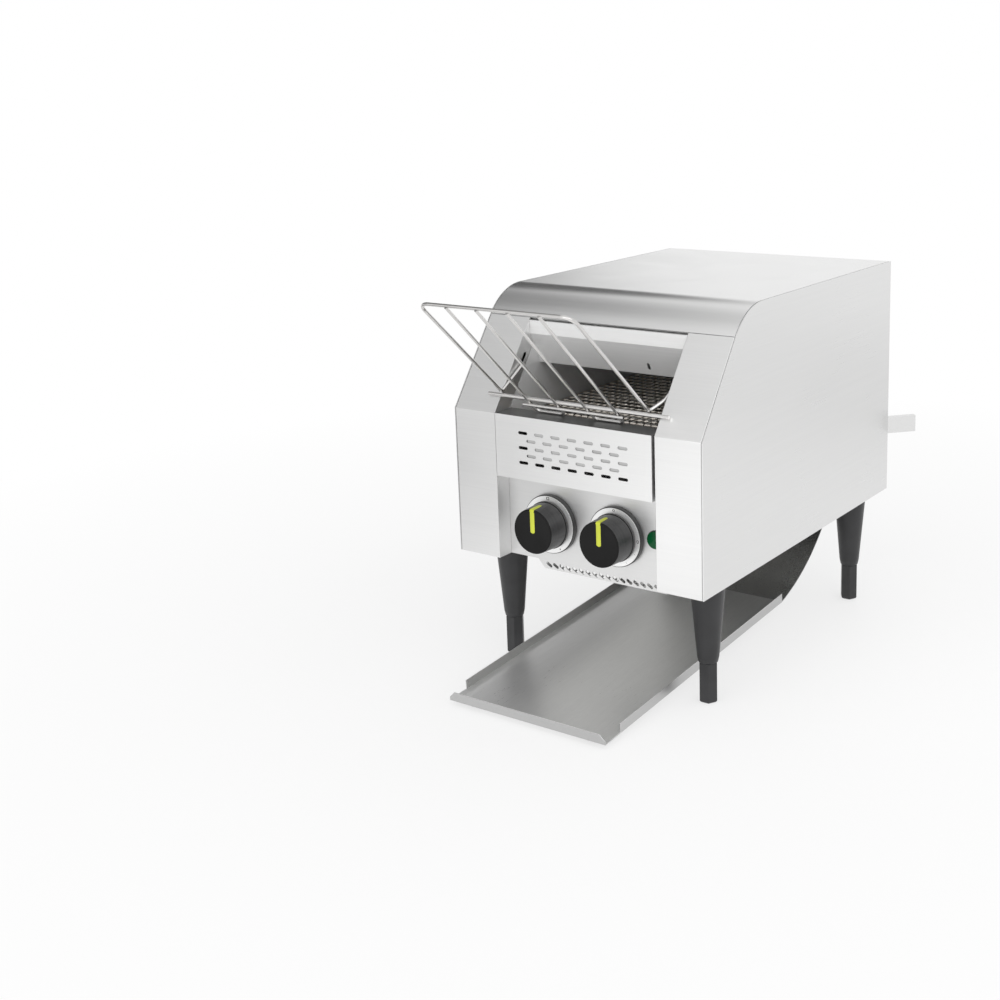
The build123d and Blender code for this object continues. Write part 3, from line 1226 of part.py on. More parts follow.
def wire_rack():
    """Rack that holds bread at the feed opening and hooks into the pillars."""
    left, right = RACK_SHIFT - RACK_HALF, RACK_SHIFT + RACK_HALF
    rod_z = rack_rod_z()
    turn_z = rod_z + RACK_ROD_RADIUS + RACK_FRAME_RADIUS - WELD
    tip = OPENING_HALF + HOOK_TIP
    hook_y, hook_z = hook_end()
    sweep_y = RACK_ROD_Y + HOOK_SWEEP_AT * (hook_y - RACK_ROD_Y)
    sweep_z = turn_z + HOOK_SWEEP_AT * (hook_z - turn_z)
    frame_points = [
        (-tip, hook_y, hook_z), (left, hook_y, hook_z), (left, RACK_ROD_Y, turn_z),
        (left, RACK_TOP_Y, RACK_TOP_Z), (right, RACK_TOP_Y, RACK_TOP_Z),
        (right, RACK_ROD_Y, turn_z), (-left, sweep_y, sweep_z),
        (-left, hook_y, hook_z), (tip, hook_y, hook_z)]
    bends = [HOOK_BEND, RACK_TURN, RACK_CORNER, RACK_CORNER, RACK_TURN, HOOK_SWEEP, HOOK_BEND]
    frame = wire(frame_points, RACK_FRAME_RADIUS, bends)

    # the inner bars pass under the long rod and end in loops on the ledge
    under_z = rod_z - RACK_ROD_RADIUS - RACK_BAR_RADIUS + WELD
    loop_z = KNEE_Z + SHEET + RACK_BAR_RADIUS + RACK_REST_GAP
    slope = (RACK_TOP_Z - under_z) / (RACK_ROD_Y - RACK_TOP_Y)
    loop_y = RACK_ROD_Y + (under_z - loop_z) / slope
    bar_drop = RACK_FRAME_RADIUS + RACK_BAR_RADIUS - WELD
    length = math.hypot(1, slope)
    top_y = RACK_TOP_Y + bar_drop * slope / length * 0.5 - RACK_NUB / length
    top_z = under_z + slope * (RACK_ROD_Y - top_y) - bar_drop
    pitch = 2 * RACK_HALF / (RACK_BARS + 1)
    loops = []
    for i in range(0, RACK_BARS, 2):
        x0 = left + (i + 1) * pitch
        x1 = x0 + pitch
        loops.append(wire([(x0, top_y, top_z), (x0, loop_y, loop_z), (x1, loop_y, loop_z),
                           (x1, top_y, top_z)], RACK_BAR_RADIUS, [RACK_LOOP_CORNER] * 2))
    rod = bar_x(-RACK_ROD_HALF + RACK_SHIFT / 3, RACK_ROD_HALF + RACK_SHIFT / 3,
                RACK_ROD_Y, rod_z, RACK_ROD_RADIUS)
    tie_y = RACK_ROD_Y - 1
    tie_z = under_z - 2 * RACK_BAR_RADIUS / math.cos(math.atan(slope)) + WELD
    tie = bar_x(left + pitch - RACK_TIE_OVERHANG, right - pitch + RACK_TIE_OVERHANG,
                tie_y, tie_z + slope, RACK_BAR_RADIUS)
    return frame.fuse(*loops, rod, tie)


# ---------------------------------------------------------------- build every node


def pieces():
    """Every node's name and shape, in the frame whose y = 0 is the front face."""
    nodes = {
        "right_side_panel": side_panel(),
        "left_side_panel": mirrored(side_panel()),
        "right_front_pillar": front_pillar(),
        "left_front_pillar": mirrored(front_pillar()),
        "top_cover": top_cover(),
        "rear_panel": rear_panel(),
        "bottom_plate": bottom_plate(),
        "vent_panel": vent_panel(),
        "control_panel": control_panel(),
        "rear_spacer": rear_spacer(),
        "case_screws": case_screws(),

        "right_tunnel_wall": tunnel_wall(True),
        "left_tunnel_wall": mirrored(tunnel_wall(False)),
        "entry_baffle": entry_baffle(),
        "compartment_cover": compartment_cover(),
        "upper_reflector": upper_reflector(),
        "upper_heaters": heaters(upper_row()),
        "lower_heaters": heaters(lower_row()),
        "heater_caps": heater_caps(),

        "conveyor_belt": conveyor_belt(),
        "idler_shaft": roller_shaft(SHAFT_REACH, SHAFT_REACH, IDLER_Y),
        "drive_shaft": roller_shaft(SHAFT_REACH, CHAIN_X + SHAFT_PAST_CHAIN, DRIVE_Y),
        "idler_wheels": belt_wheels(IDLER_Y),
        "drive_wheels": belt_wheels(DRIVE_Y),
        "shaft_bushes": shaft_bushes(),
        "drive_chain": drive_chain(),
        "drive_chain_wheel": chain_wheel(DRIVE_TEETH, DRIVE_Y, SHAFT_Z),
        "motor_chain_wheel": chain_wheel(MOTOR_TEETH, MOTOR_Y, MOTOR_Z),
        "motor_shaft": motor_shaft(),
        "gear_motor": gear_motor(),
        "motor_bracket": motor_bracket(),

        "dial_plates": dial_discs(DIAL_Y, DIAL_Y + DIAL_PLATE, DIAL_RADIUS),
        "dial_seats": dial_discs(DIAL_Y + DIAL_PLATE, PANEL_Y, DIAL_SEAT_RADIUS),
        "function_switch": function_switch(),
        "speed_regulator": speed_regulator(),
        "lamp_lens": lamp_lens(),
        "lamp_body": lamp_body(),

        "fan_frame": fan_frame(),
        "fan_rotor": fan_rotor(),
        "terminal_block": terminal_block(),
        "control_board": control_board(),
        "cable_gland": cable_gland(),

        "exit_tray": exit_tray(),
        "tray_pads": tray_pads(),
        "exit_chute": exit_chute(),
        "wire_rack": wire_rack(),
    }
    for name, side in (("function", -1), ("speed", 1)):
        nodes[f"{name}_knob"] = knob(side)
        nodes[f"{name}_pointer"] = pointer(side)
        nodes[f"{name}_shaft"] = knob_shaft(side)
    for name, (x, y) in leg_places().items():
        nodes[f"{name}_leg"] = leg(x, y)
        nodes[f"{name}_foot"] = foot(x, y)
    return nodes


def middle_of(nodes):
    """Y of the middle of the whole length."""
    boxes = [shape.bounding_box() for shape in nodes.values()]
    return (min(box.min.Y for box in boxes) + max(box.max.Y for box in boxes)) / 2


def build():
    os.makedirs("parts", exist_ok=True)
    nodes = pieces()
    to_origin = Pos(0, -middle_of(nodes), 0)
    for name, shape in nodes.items():
        export_step(to_origin * shape, f"parts/{name}.step")


build()
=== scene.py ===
"""The conveyor toaster's finishes, rounded edges, knobs, dials, belt, screws, light and camera."""
import json
import math

import bmesh
import bpy
from mathutils import Matrix, Vector

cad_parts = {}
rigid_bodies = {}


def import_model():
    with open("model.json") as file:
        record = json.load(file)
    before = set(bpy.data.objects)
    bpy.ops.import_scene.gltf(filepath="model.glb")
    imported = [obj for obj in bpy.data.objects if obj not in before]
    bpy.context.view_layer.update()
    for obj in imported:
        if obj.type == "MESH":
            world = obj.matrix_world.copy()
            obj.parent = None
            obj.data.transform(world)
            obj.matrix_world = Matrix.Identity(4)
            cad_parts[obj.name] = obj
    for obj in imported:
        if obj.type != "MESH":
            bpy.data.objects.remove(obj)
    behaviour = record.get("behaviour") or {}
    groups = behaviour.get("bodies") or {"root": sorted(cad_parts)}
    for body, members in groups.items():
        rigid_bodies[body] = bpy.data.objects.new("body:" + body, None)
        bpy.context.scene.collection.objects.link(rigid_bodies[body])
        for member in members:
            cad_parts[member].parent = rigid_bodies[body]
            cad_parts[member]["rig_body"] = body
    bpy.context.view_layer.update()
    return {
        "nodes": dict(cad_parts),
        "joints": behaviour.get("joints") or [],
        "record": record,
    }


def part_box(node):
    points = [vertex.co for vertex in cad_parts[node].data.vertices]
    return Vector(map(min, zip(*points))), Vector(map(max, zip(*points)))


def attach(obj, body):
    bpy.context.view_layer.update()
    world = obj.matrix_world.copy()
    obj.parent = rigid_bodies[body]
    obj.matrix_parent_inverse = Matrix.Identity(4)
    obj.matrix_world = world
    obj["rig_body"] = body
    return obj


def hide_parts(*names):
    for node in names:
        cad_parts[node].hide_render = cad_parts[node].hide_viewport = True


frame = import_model()
NODES = frame["nodes"]
JOINTS = {joint["name"]: joint for joint in frame["joints"]}
SLOTS = {row["node"]: row["material_slot"] for row in frame["record"]["subparts"]}
MM = 0.001

# ---------------------------------------------------------------- shader helpers


def put(tree, kind, **values):
    """Adds a node; each value sets the input of that name, or else the property."""
    node = tree.nodes.new(kind)
    for key, value in values.items():
        name = key.replace("_", " ")
        if name in node.inputs:
            node.inputs[name].default_value = value
        else:
            setattr(node, key, value)
    return node


def join(tree, source, target):
    tree.links.new(source, target)


def new_group(name, inputs, outputs):
    """Empty shader group; inputs are (name, socket type, default) and outputs (name, socket type)."""
    group = bpy.data.node_groups.new(name, "ShaderNodeTree")
    for label, kind, default in inputs:
        group.interface.new_socket(label, in_out="INPUT", socket_type=kind).default_value = default
    for label, kind in outputs:
        group.interface.new_socket(label, in_out="OUTPUT", socket_type=kind)
    return group, group.nodes.new("NodeGroupInput"), group.nodes.new("NodeGroupOutput")


def contrast(tree, value, low, high, to_low=0.0, to_high=1.0, easing="LINEAR"):
    """Maps low to high of a value onto the second range, and holds it there."""
    node = put(tree, "ShaderNodeMapRange", clamp=True, interpolation_type=easing)
    for name, number in (("From Min", low), ("From Max", high), ("To Min", to_low), ("To Max", to_high)):
        node.inputs[name].default_value = number
    join(tree, value, node.inputs["Value"])
    return node.outputs["Result"]


def calculate(tree, operation, first, second):
    """One Math node; each side is a socket or a number."""
    node = put(tree, "ShaderNodeMath", operation=operation)
    for socket, side in zip(node.inputs, (first, second)):
        if isinstance(side, (int, float)):
            socket.default_value = side
        else:
            join(tree, side, socket)
    return node.outputs["Value"]


def product(tree, values):
    """Multiplies the values of several sockets."""
    result = values[0]
    for value in values[1:]:
        result = calculate(tree, "MULTIPLY", result, value)
    return result


def mix_colour(tree, factor, low, high):
    """Mixes two colours, each an RGB triple or a socket, by a value."""
    node = put(tree, "ShaderNodeMix", data_type="RGBA")
    join(tree, factor, node.inputs[0])
    for socket, colour in ((node.inputs[6], low), (node.inputs[7], high)):
        if isinstance(colour, tuple):
            socket.default_value = (*colour, 1)
        else:
            join(tree, colour, socket)
    return node.outputs[2]


def mix_shaders(tree, factor, first, second, output):
    """Mixes two shaders by a value and sends them to the output node."""
    mixed = put(tree, "ShaderNodeMixShader")
    for socket, source in zip(mixed.inputs, (factor, first, second)):
        join(tree, source, socket)
    join(tree, mixed.outputs["Shader"], tree.nodes[output].inputs["Surface"])


def use_group(tree, group, **values):
    node = tree.nodes.new("ShaderNodeGroup")
    node.node_tree = group
    for key, value in values.items():
        node.inputs[key].default_value = value
    return node


BAND_SCALE = 0.16         # cells of the broad bands against those of the scratches


def brushing_group():
    """Fine parallel scratches; Stretch is the number of cells per metre along each axis."""
    group, given, made = new_group(
        "Brushing", [("Stretch", "NodeSocketVector", (1400, 1400, 8))],
        [("Streak", "NodeSocketFloat"), ("Band", "NodeSocketFloat")])
    place = put(group, "ShaderNodeTexCoord")
    scaled = put(group, "ShaderNodeVectorMath", operation="MULTIPLY")
    join(group, place.outputs["Object"], scaled.inputs[0])
    join(group, given.outputs["Stretch"], scaled.inputs[1])
    wide = put(group, "ShaderNodeVectorMath", operation="SCALE", Scale=BAND_SCALE)
    join(group, scaled.outputs["Vector"], wide.inputs[0])
    for vector, detail, name in ((scaled, 2.0, "Streak"), (wide, 1.0, "Band")):
        noise = put(group, "ShaderNodeTexNoise", Scale=1.0, Detail=detail, Roughness=0.6)
        join(group, vector.outputs["Vector"], noise.inputs["Vector"])
        join(group, noise.outputs["Fac"], made.inputs[name])
    return group


def smudge_group():
    """Soft uneven patches, as handling and wiping leave them, and fine flecks."""
    group, given, made = new_group(
        "Smudges", [("Size", "NodeSocketFloat", 9.0), ("Fine", "NodeSocketFloat", 420.0)],
        [("Patch", "NodeSocketFloat"), ("Fleck", "NodeSocketFloat")])
    place = put(group, "ShaderNodeTexCoord")
    for scale, name, values in (("Size", "Patch", {"Detail": 3.0, "Roughness": 0.55, "Distortion": 0.6}),
                                ("Fine", "Fleck", {"Detail": 4.0, "Roughness": 0.7})):
        noise = put(group, "ShaderNodeTexNoise", **values)
        join(group, place.outputs["Object"], noise.inputs["Vector"])
        join(group, given.outputs[scale], noise.inputs["Scale"])
        join(group, noise.outputs["Fac"], made.inputs[name])
    return group


def grain_group():
    """Moulded plastic's fine leathery grain, as a height."""
    group, given, made = new_group(
        "Grain", [("Cells", "NodeSocketFloat", 1800.0)], [("Height", "NodeSocketFloat")])
    place = put(group, "ShaderNodeTexCoord")
    cells = put(group, "ShaderNodeTexVoronoi", feature="SMOOTH_F1", Smoothness=0.6)
    join(group, place.outputs["Object"], cells.inputs["Vector"])
    join(group, given.outputs["Cells"], cells.inputs["Scale"])
    join(group, cells.outputs["Distance"], made.inputs["Height"])
    return group


def turned_group():
    """Fine rings about the knobs' axes, and the direction across them."""
    group, given, made = new_group(
        "Turned", [("Rings", "NodeSocketFloat", 1600.0)],
        [("Ring", "NodeSocketFloat"), ("Along", "NodeSocketVector")])
    place = put(group, "ShaderNodeTexCoord")
    apart = put(group, "ShaderNodeSeparateXYZ")
    join(group, place.outputs["Object"], apart.inputs[0])
    from_middle = calculate(group, "SUBTRACT", apart.outputs["X"], KNOB_MIDDLE.x)
    side = calculate(group, "SIGN", from_middle, 0.0)
    across = calculate(group, "SUBTRACT", from_middle, calculate(group, "MULTIPLY", side, KNOB_HALF_PITCH))
    up = calculate(group, "SUBTRACT", apart.outputs["Z"], KNOB_MIDDLE.z)
    radius = put(group, "ShaderNodeVectorMath", operation="LENGTH")
    spoke = put(group, "ShaderNodeCombineXYZ")
    join(group, across, spoke.inputs["X"])
    join(group, up, spoke.inputs["Z"])
    join(group, spoke.outputs["Vector"], radius.inputs[0])
    rings = put(group, "ShaderNodeCombineXYZ")
    join(group, radius.outputs["Value"], rings.inputs["X"])
    join(group, apart.outputs["Y"], rings.inputs["Y"])
    noise = put(group, "ShaderNodeTexNoise", Detail=3.0, Roughness=0.65)
    join(group, rings.outputs["Vector"], noise.inputs["Vector"])
    join(group, given.outputs["Rings"], noise.inputs["Scale"])
    join(group, noise.outputs["Fac"], made.inputs["Ring"])
    along = put(group, "ShaderNodeCombineXYZ")
    join(group, up, along.inputs["X"])
    join(group, calculate(group, "MULTIPLY", across, -1.0), along.inputs["Z"])
    join(group, along.outputs["Vector"], made.inputs["Along"])
    return group


KNOB_BOXES = [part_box(name) for name in ("function_knob", "speed_knob")]
KNOB_CENTRES = [(low + high) / 2 for low, high in KNOB_BOXES]
KNOB_MIDDLE = (KNOB_CENTRES[0] + KNOB_CENTRES[1]) / 2
KNOB_HALF_PITCH = abs(KNOB_CENTRES[1].x - KNOB_CENTRES[0].x) / 2
BRUSHING = brushing_group()
TURNED = turned_group()
SMUDGES = smudge_group()
GRAIN = grain_group()

# ---------------------------------------------------------------- finishes


def new_material(name, **sockets):
    """Material with one Principled shader; sockets are its plain values."""
    material = bpy.data.materials.new(name)
    material.use_nodes = True
    tree = material.node_tree
    shader = tree.nodes["Principled BSDF"]
    for key, value in sockets.items():
        shader.inputs[key.replace("_", " ")].default_value = value
    return material, tree, shader


def bump(tree, shader, height, strength, distance):
    node = put(tree, "ShaderNodeBump", Strength=strength, Distance=distance)
    join(tree, height, node.inputs["Height"])
    join(tree, node.outputs["Normal"], shader.inputs["Normal"])


STREAK_SHARE = 0.75       # of a brushed sheet's tone; the broad bands have the rest
PATCH_ROUGHNESS = 0.05
RELIEF = 0.3 * MM
FLECK_RELIEF = 0.2 * MM


def brushed_steel(name, dark, light, rough, stretch, depth=0.015, metal=1.0):
    """Brushed sheet: scratches run along the axis that has the small stretch value."""
    material, tree, shader = new_material(name, Metallic=metal)
    lines = use_group(tree, BRUSHING, Stretch=stretch)
    marks = use_group(tree, SMUDGES)
    streak = contrast(tree, lines.outputs["Streak"], 0.2, 0.8)
    band = contrast(tree, lines.outputs["Band"], 0.25, 0.75)
    patch = contrast(tree, marks.outputs["Patch"], 0.35, 0.75)
    tone = calculate(tree, "ADD", calculate(tree, "MULTIPLY", streak, STREAK_SHARE),
                     calculate(tree, "MULTIPLY", band, 1 - STREAK_SHARE))
    join(tree, mix_colour(tree, tone, dark, light), shader.inputs["Base Color"])
    rough_streak = contrast(tree, streak, 0.0, 1.0, *rough)
    rough_patch = calculate(tree, "MULTIPLY", patch, PATCH_ROUGHNESS)
    join(tree, calculate(tree, "ADD", rough_streak, rough_patch), shader.inputs["Roughness"])
    bump(tree, shader, lines.outputs["Streak"], depth, RELIEF)
    return material


def plain_metal(name, dark, light, rough, size=14.0, metal=1.0):
    """Metal with soft patches and fine flecks; size is the number of patches per metre."""
    material, tree, shader = new_material(name, Metallic=metal)
    marks = use_group(tree, SMUDGES, Size=size)
    patch = contrast(tree, marks.outputs["Patch"], 0.3, 0.7)
    join(tree, mix_colour(tree, patch, dark, light), shader.inputs["Base Color"])
    join(tree, contrast(tree, marks.outputs["Fleck"], 0.3, 0.7, *rough), shader.inputs["Roughness"])
    bump(tree, shader, marks.outputs["Fleck"], 0.05, FLECK_RELIEF)
    return material


def plastic(name, dark, light, rough, cells=1800.0, depth=0.12, **sockets):
    """Moulded plastic or a coat; cells is the number of grains per metre."""
    material, tree, shader = new_material(name, **sockets)
    marks = use_group(tree, SMUDGES, Size=22.0)
    grain = use_group(tree, GRAIN, Cells=cells)
    patch = contrast(tree, marks.outputs["Patch"], 0.3, 0.75)
    join(tree, mix_colour(tree, patch, dark, light), shader.inputs["Base Color"])
    join(tree, contrast(tree, marks.outputs["Fleck"], 0.3, 0.7, *rough), shader.inputs["Roughness"])
    bump(tree, shader, grain.outputs["Height"], depth, RELIEF)
    return material


def turned_metal(name, dark, light, rough, spread_out):
    """Spun metal: fine rings, and a gloss that is drawn out across them."""
    material, tree, shader = new_material(name, Metallic=0.8, Anisotropic=spread_out)
    rings = use_group(tree, TURNED, Rings=1400.0)
    ring = contrast(tree, rings.outputs["Ring"], 0.3, 0.7)
    join(tree, mix_colour(tree, ring, dark, light), shader.inputs["Base Color"])
    join(tree, contrast(tree, ring, 0.0, 1.0, *rough), shader.inputs["Roughness"])
    join(tree, rings.outputs["Along"], shader.inputs["Tangent"])
    return material


def turned_plastic(name, dark, light, rough, **sockets):
    """Satin black with fine turned rings round the knob's side."""
    material, tree, shader = new_material(name, **sockets)
    rings = use_group(tree, TURNED, Rings=900.0)
    grain = use_group(tree, GRAIN, Cells=2600.0)
    ring = contrast(tree, rings.outputs["Ring"], 0.35, 0.7)
    join(tree, mix_colour(tree, ring, dark, light), shader.inputs["Base Color"])
    join(tree, contrast(tree, ring, 0.0, 1.0, *rough), shader.inputs["Roughness"])
    grained = calculate(tree, "MULTIPLY", grain.outputs["Height"], 0.5)
    bump(tree, shader, calculate(tree, "ADD", rings.outputs["Ring"], grained), 0.3, RELIEF)
    return material


LENGTHWISE = (1500, 10, 1500)
CROSSWISE = (10, 1500, 1500)


def grey(level):
    """Grey with a trace of warmth."""
    return (level, level, level * 0.996)


FINISHES = {
    # The side, top and control-panel steels below are the fronts' steel with darker base colours, which are
    # painted shade; their brushing and roughness are their own.
    "stainless_sheet": brushed_steel("Stainless front", grey(0.80), grey(0.85), (0.36, 0.42), CROSSWISE),
    "side_steel_painted_shade": brushed_steel("Stainless side", grey(0.735), grey(0.775), (0.26, 0.31), LENGTHWISE),
    "top_steel_painted_shade": brushed_steel("Stainless top", grey(0.72), grey(0.76), (0.16, 0.2), CROSSWISE),
    "panel_steel_painted_shade": brushed_steel("Stainless panel", grey(0.71), grey(0.76), (0.36, 0.43), CROSSWISE),
    "inner_sheet": brushed_steel("Inner sheet", grey(0.80), grey(0.86), (0.42, 0.52), CROSSWISE,
                                 metal=0.55),
    # Stainless sheet painted dark grey: painted shade where the shelf and the vent panel's ledge top lie in
    # shadow inside the opening.
    "shelf_painted_shade": brushed_steel("Shelf sheet", grey(0.22), grey(0.28), (0.3, 0.4), CROSSWISE),
    # The tray's steel is darker than its upward faces: painted shade on its walls and lip.
    "tray_steel": brushed_steel("Tray sheet", grey(0.49), grey(0.55), (0.26, 0.34), LENGTHWISE),
    # Steel painted dark grey: painted shade and dark reflection for the chute's place under the casing.
    "chute_steel": brushed_steel("Chute sheet", grey(0.44), grey(0.52), (0.22, 0.3), LENGTHWISE,
                                 metal=0.9),
    "zinc_steel": plain_metal("Zinc plate", (0.5, 0.5, 0.48), (0.62, 0.62, 0.6), (0.35, 0.5)),
    "belt_wire": plain_metal("Belt wire", (0.78, 0.71, 0.63), (0.96, 0.90, 0.82), (0.4, 0.55), 60.0,
                             metal=0.2),
    "rack_wire": plain_metal("Rack wire", (0.62, 0.61, 0.60), (0.72, 0.71, 0.70), (0.10, 0.16)),
    "wheel_steel": plain_metal("Turned steel", (0.38, 0.37, 0.36), (0.5, 0.49, 0.48), (0.3, 0.42)),
    "bush_bronze": plain_metal("Bronze", (0.5, 0.34, 0.16), (0.62, 0.45, 0.24), (0.3, 0.45)),
    "quartz_tube": plastic("Quartz", (0.72, 0.70, 0.66), (0.85, 0.83, 0.8), (0.15, 0.25), depth=0.02),
    "ceramic": plastic("Ceramic", (0.78, 0.76, 0.70), (0.86, 0.84, 0.79), (0.5, 0.6), 2400.0),
    "black_knob": turned_plastic("Black knob", (0.030, 0.030, 0.031), (0.060, 0.060, 0.061), (0.30, 0.45),
                                 Specular_IOR_Level=0.7),
    "lime_pointer": plastic("Lime pointer", (0.55, 0.60, 0.03), (0.62, 0.67, 0.05), (0.28, 0.36), depth=0.03),
    "dial_silver": turned_metal("Dial silver", grey(0.90), grey(0.98), (0.38, 0.46), 0.6),
    "dial_black": plastic("Dial seat", (0.03, 0.03, 0.03), (0.05, 0.05, 0.05), (0.3, 0.4)),
    "lamp_green": plastic("Lamp lens", (0.001, 0.06, 0.016), (0.002, 0.15, 0.045), (0.12, 0.2),
                          cells=420.0, depth=0.5, Specular_IOR_Level=0.2),
    "charcoal_plastic": plastic("Charcoal plastic", (0.028, 0.028, 0.029), (0.041, 0.041, 0.043),
                                (0.34, 0.44), Specular_IOR_Level=0.35),
    "pad_rubber": plastic("Pad rubber", (0.02, 0.02, 0.02), (0.03, 0.03, 0.03), (0.6, 0.75)),
    "fan_plastic": plastic("Fan plastic", (0.02, 0.02, 0.022), (0.03, 0.03, 0.033), (0.4, 0.5)),
    "motor_paint": plastic("Motor coat", (0.07, 0.07, 0.075), (0.11, 0.11, 0.12), (0.35, 0.5), 900.0),
    "switch_plastic": plastic("Switch plastic", (0.5, 0.48, 0.42), (0.58, 0.56, 0.5), (0.4, 0.5)),
    "board_green": plastic("Board", (0.015, 0.13, 0.05), (0.02, 0.18, 0.08), (0.3, 0.45), 500.0),
    "screw_steel": plain_metal("Screw steel", (0.55, 0.55, 0.53), (0.68, 0.68, 0.66), (0.22, 0.34)),
}
# Nodes that take another finish than their slot's: other brushing, and base colours darkened as painted
# shade.
BRUSHING_AND_PAINTED_SHADE_OF = {"left_side_panel": "side_steel_painted_shade", "right_side_panel": "side_steel_painted_shade",
                 "rear_spacer": "side_steel_painted_shade", "top_cover": "top_steel_painted_shade",
                 "control_panel": "panel_steel_painted_shade", "compartment_cover": "shelf_painted_shade"}
FINISH_OF = {name: FINISHES[BRUSHING_AND_PAINTED_SHADE_OF.get(name, SLOTS[name])] for name in NODES}
KNOB_FACE = plastic("Knob face", (0.007, 0.007, 0.007), (0.012, 0.012, 0.012), (0.45, 0.55), 2600.0, 0.08,
                    Specular_IOR_Level=0.14)
# Lighter copy of the tray's steel for its upward faces: painted light on the floor that faces the light.
TRAY_FLOOR_PAINTED_LIGHT = brushed_steel("Tray floor", grey(0.80), grey(0.90), (0.26, 0.34), LENGTHWISE, 0.006, metal=0.8)
# Dark steel for the lip's webs and the plate behind its first slots: painted shade.
LIP_PAINTED_SHADE = brushed_steel("Lip back", grey(0.30), grey(0.38), (0.34, 0.42), CROSSWISE, metal=0.8)
# Darker steel for the slot walls and backing behind the vent's slots: painted shade in the recesses.
SLOT_PAINTED_SHADE = plain_metal("Slot backing", grey(0.52), grey(0.60), (0.45, 0.55))
MARK_INK = plastic("Dial ink", (0.03, 0.03, 0.03), (0.05, 0.05, 0.05), (0.4, 0.5))
for name, node in NODES.items():
    node.data.materials.clear()
    node.data.materials.append(FINISH_OF[name])

# ---------------------------------------------------------------- piece helpers


def add_piece(name, shape, node, body=None, finish=None, sharp=40.0):
    """Turns a bmesh into a piece that rides with a CAD node and takes its finish."""
    mesh = bpy.data.meshes.new(name)
    shape.to_mesh(mesh)
    shape.free()
    mesh.shade_smooth()
    mesh.set_sharp_from_angle(angle=math.radians(sharp))
    mesh.materials.append(finish or FINISH_OF[node])
    piece = bpy.data.objects.new(name, mesh)
    bpy.context.scene.collection.objects.link(piece)
    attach(piece, body or NODES[node]["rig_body"])
    return piece


def soften(piece, width, segments=2, steep=32.0):
    """Rounds off a piece's sharp edges and keeps its flat faces flat."""
    bevel = piece.modifiers.new("Soft edge", "BEVEL")
    bevel.width = width
    bevel.segments = segments
    bevel.limit_method = "ANGLE"
    bevel.angle_limit = math.radians(steep)
    even = piece.modifiers.new("Even shading", "WEIGHTED_NORMAL")
    even.mode = "FACE_AREA"
    even.weight = 100
    even.keep_sharp = True


CAD_WELD = 0.01 * MM
SPIN_WELD = 0.005 * MM
FLAT_WITHIN = 0.4         # degrees


def merged_copy(node):
    """Closed bmesh of a CAD node, with flat faces joined."""
    shape = bmesh.new()
    shape.from_mesh(NODES[node].data)
    bmesh.ops.remove_doubles(shape, verts=shape.verts, dist=CAD_WELD)
    bmesh.ops.dissolve_limit(shape, angle_limit=math.radians(FLAT_WITHIN),
                             verts=shape.verts, edges=shape.edges)
    return shape


def softened_copy(node, width, segments=2):
    """The CAD node again with rounded edges, in its place."""
    piece = add_piece(node + "_rounded", merged_copy(node), node)
    soften(piece, width, segments)
    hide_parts(node)


def add_copy(shape, template, place):
    """Adds a copy of a template mesh to a bmesh, at a place."""
    template.transform(place)
    shape.from_mesh(template)
    template.transform(place.inverted())


def arc(centre, radius, start, end, steps):
    """Points (across, along) on a round corner, angles in degrees."""
    points = []
    for i in range(steps + 1):
        turn = math.radians(start + (end - start) * i / steps)
        points.append((centre[0] + radius * math.cos(turn), centre[1] + radius * math.sin(turn)))
    return points


def turned(profile, centre, axis, steps=96):
    """Bmesh of a profile spun about an axis; points are (radius, place along the axis)."""
    axis = Vector(axis)
    side = axis.orthogonal().normalized()
    shape = bmesh.new()
    spots = [shape.verts.new(Vector(centre) + side * radius + axis * height) for radius, height in profile]
    edges = [shape.edges.new(pair) for pair in zip(spots, spots[1:])]
    bmesh.ops.spin(shape, geom=spots + edges, cent=centre, axis=axis, angle=math.tau,
                   steps=steps, use_merge=True)
    bmesh.ops.remove_doubles(shape, verts=shape.verts, dist=SPIN_WELD)
    bmesh.ops.recalc_face_normals(shape, faces=shape.faces)
    return shape


# ---------------------------------------------------------------- casing

SHEET_EDGES = {           # widths of the rounded edges, mm
    "left_side_panel": 0.8, "right_side_panel": 0.8, "left_front_pillar": 0.4, "right_front_pillar": 0.4,
    "top_cover": 0.4, "vent_panel": 0.35, "control_panel": 0.3, "rear_panel": 0.3, "bottom_plate": 0.3,
    "rear_spacer": 0.45, "entry_baffle": 0.3, "exit_tray": 0.35, "exit_chute": 0.3,
}
for name, width in SHEET_EDGES.items():
    softened_copy(name, width * MM)


def refinish(piece, finish, wanted):
    """Gives the faces that a test picks a finish of their own."""
    piece.data.materials.append(finish)
    last = len(piece.data.materials) - 1
    for face in piece.data.polygons:
        if wanted(face):
            face.material_index = last


SLOT_REACH = 72 * MM      # from the middle to the outermost backed slots
SLOT_DEPTHS = (0.1 * MM, 1.6 * MM)  # behind the panel's front, where slot walls and backing lie
LEDGE_DEPTH = 3 * MM      # below the panel's top
vent = bpy.data.objects["vent_panel_rounded"]
vent_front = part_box("vent_panel")[0].y
vent_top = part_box("vent_panel")[1].z
# Slot walls and backing take the darker steel: painted shade.
refinish(vent, SLOT_PAINTED_SHADE, lambda face: SLOT_DEPTHS[0] < face.center.y - vent_front < SLOT_DEPTHS[1]
         and abs(face.center.x) < SLOT_REACH)
# The vent panel's ledge top takes the dark shelf steel: painted shade.
refinish(vent, FINISHES["shelf_painted_shade"],
         lambda face: face.normal.z > 0.7 and vent_top - face.center.z < LEDGE_DEPTH)
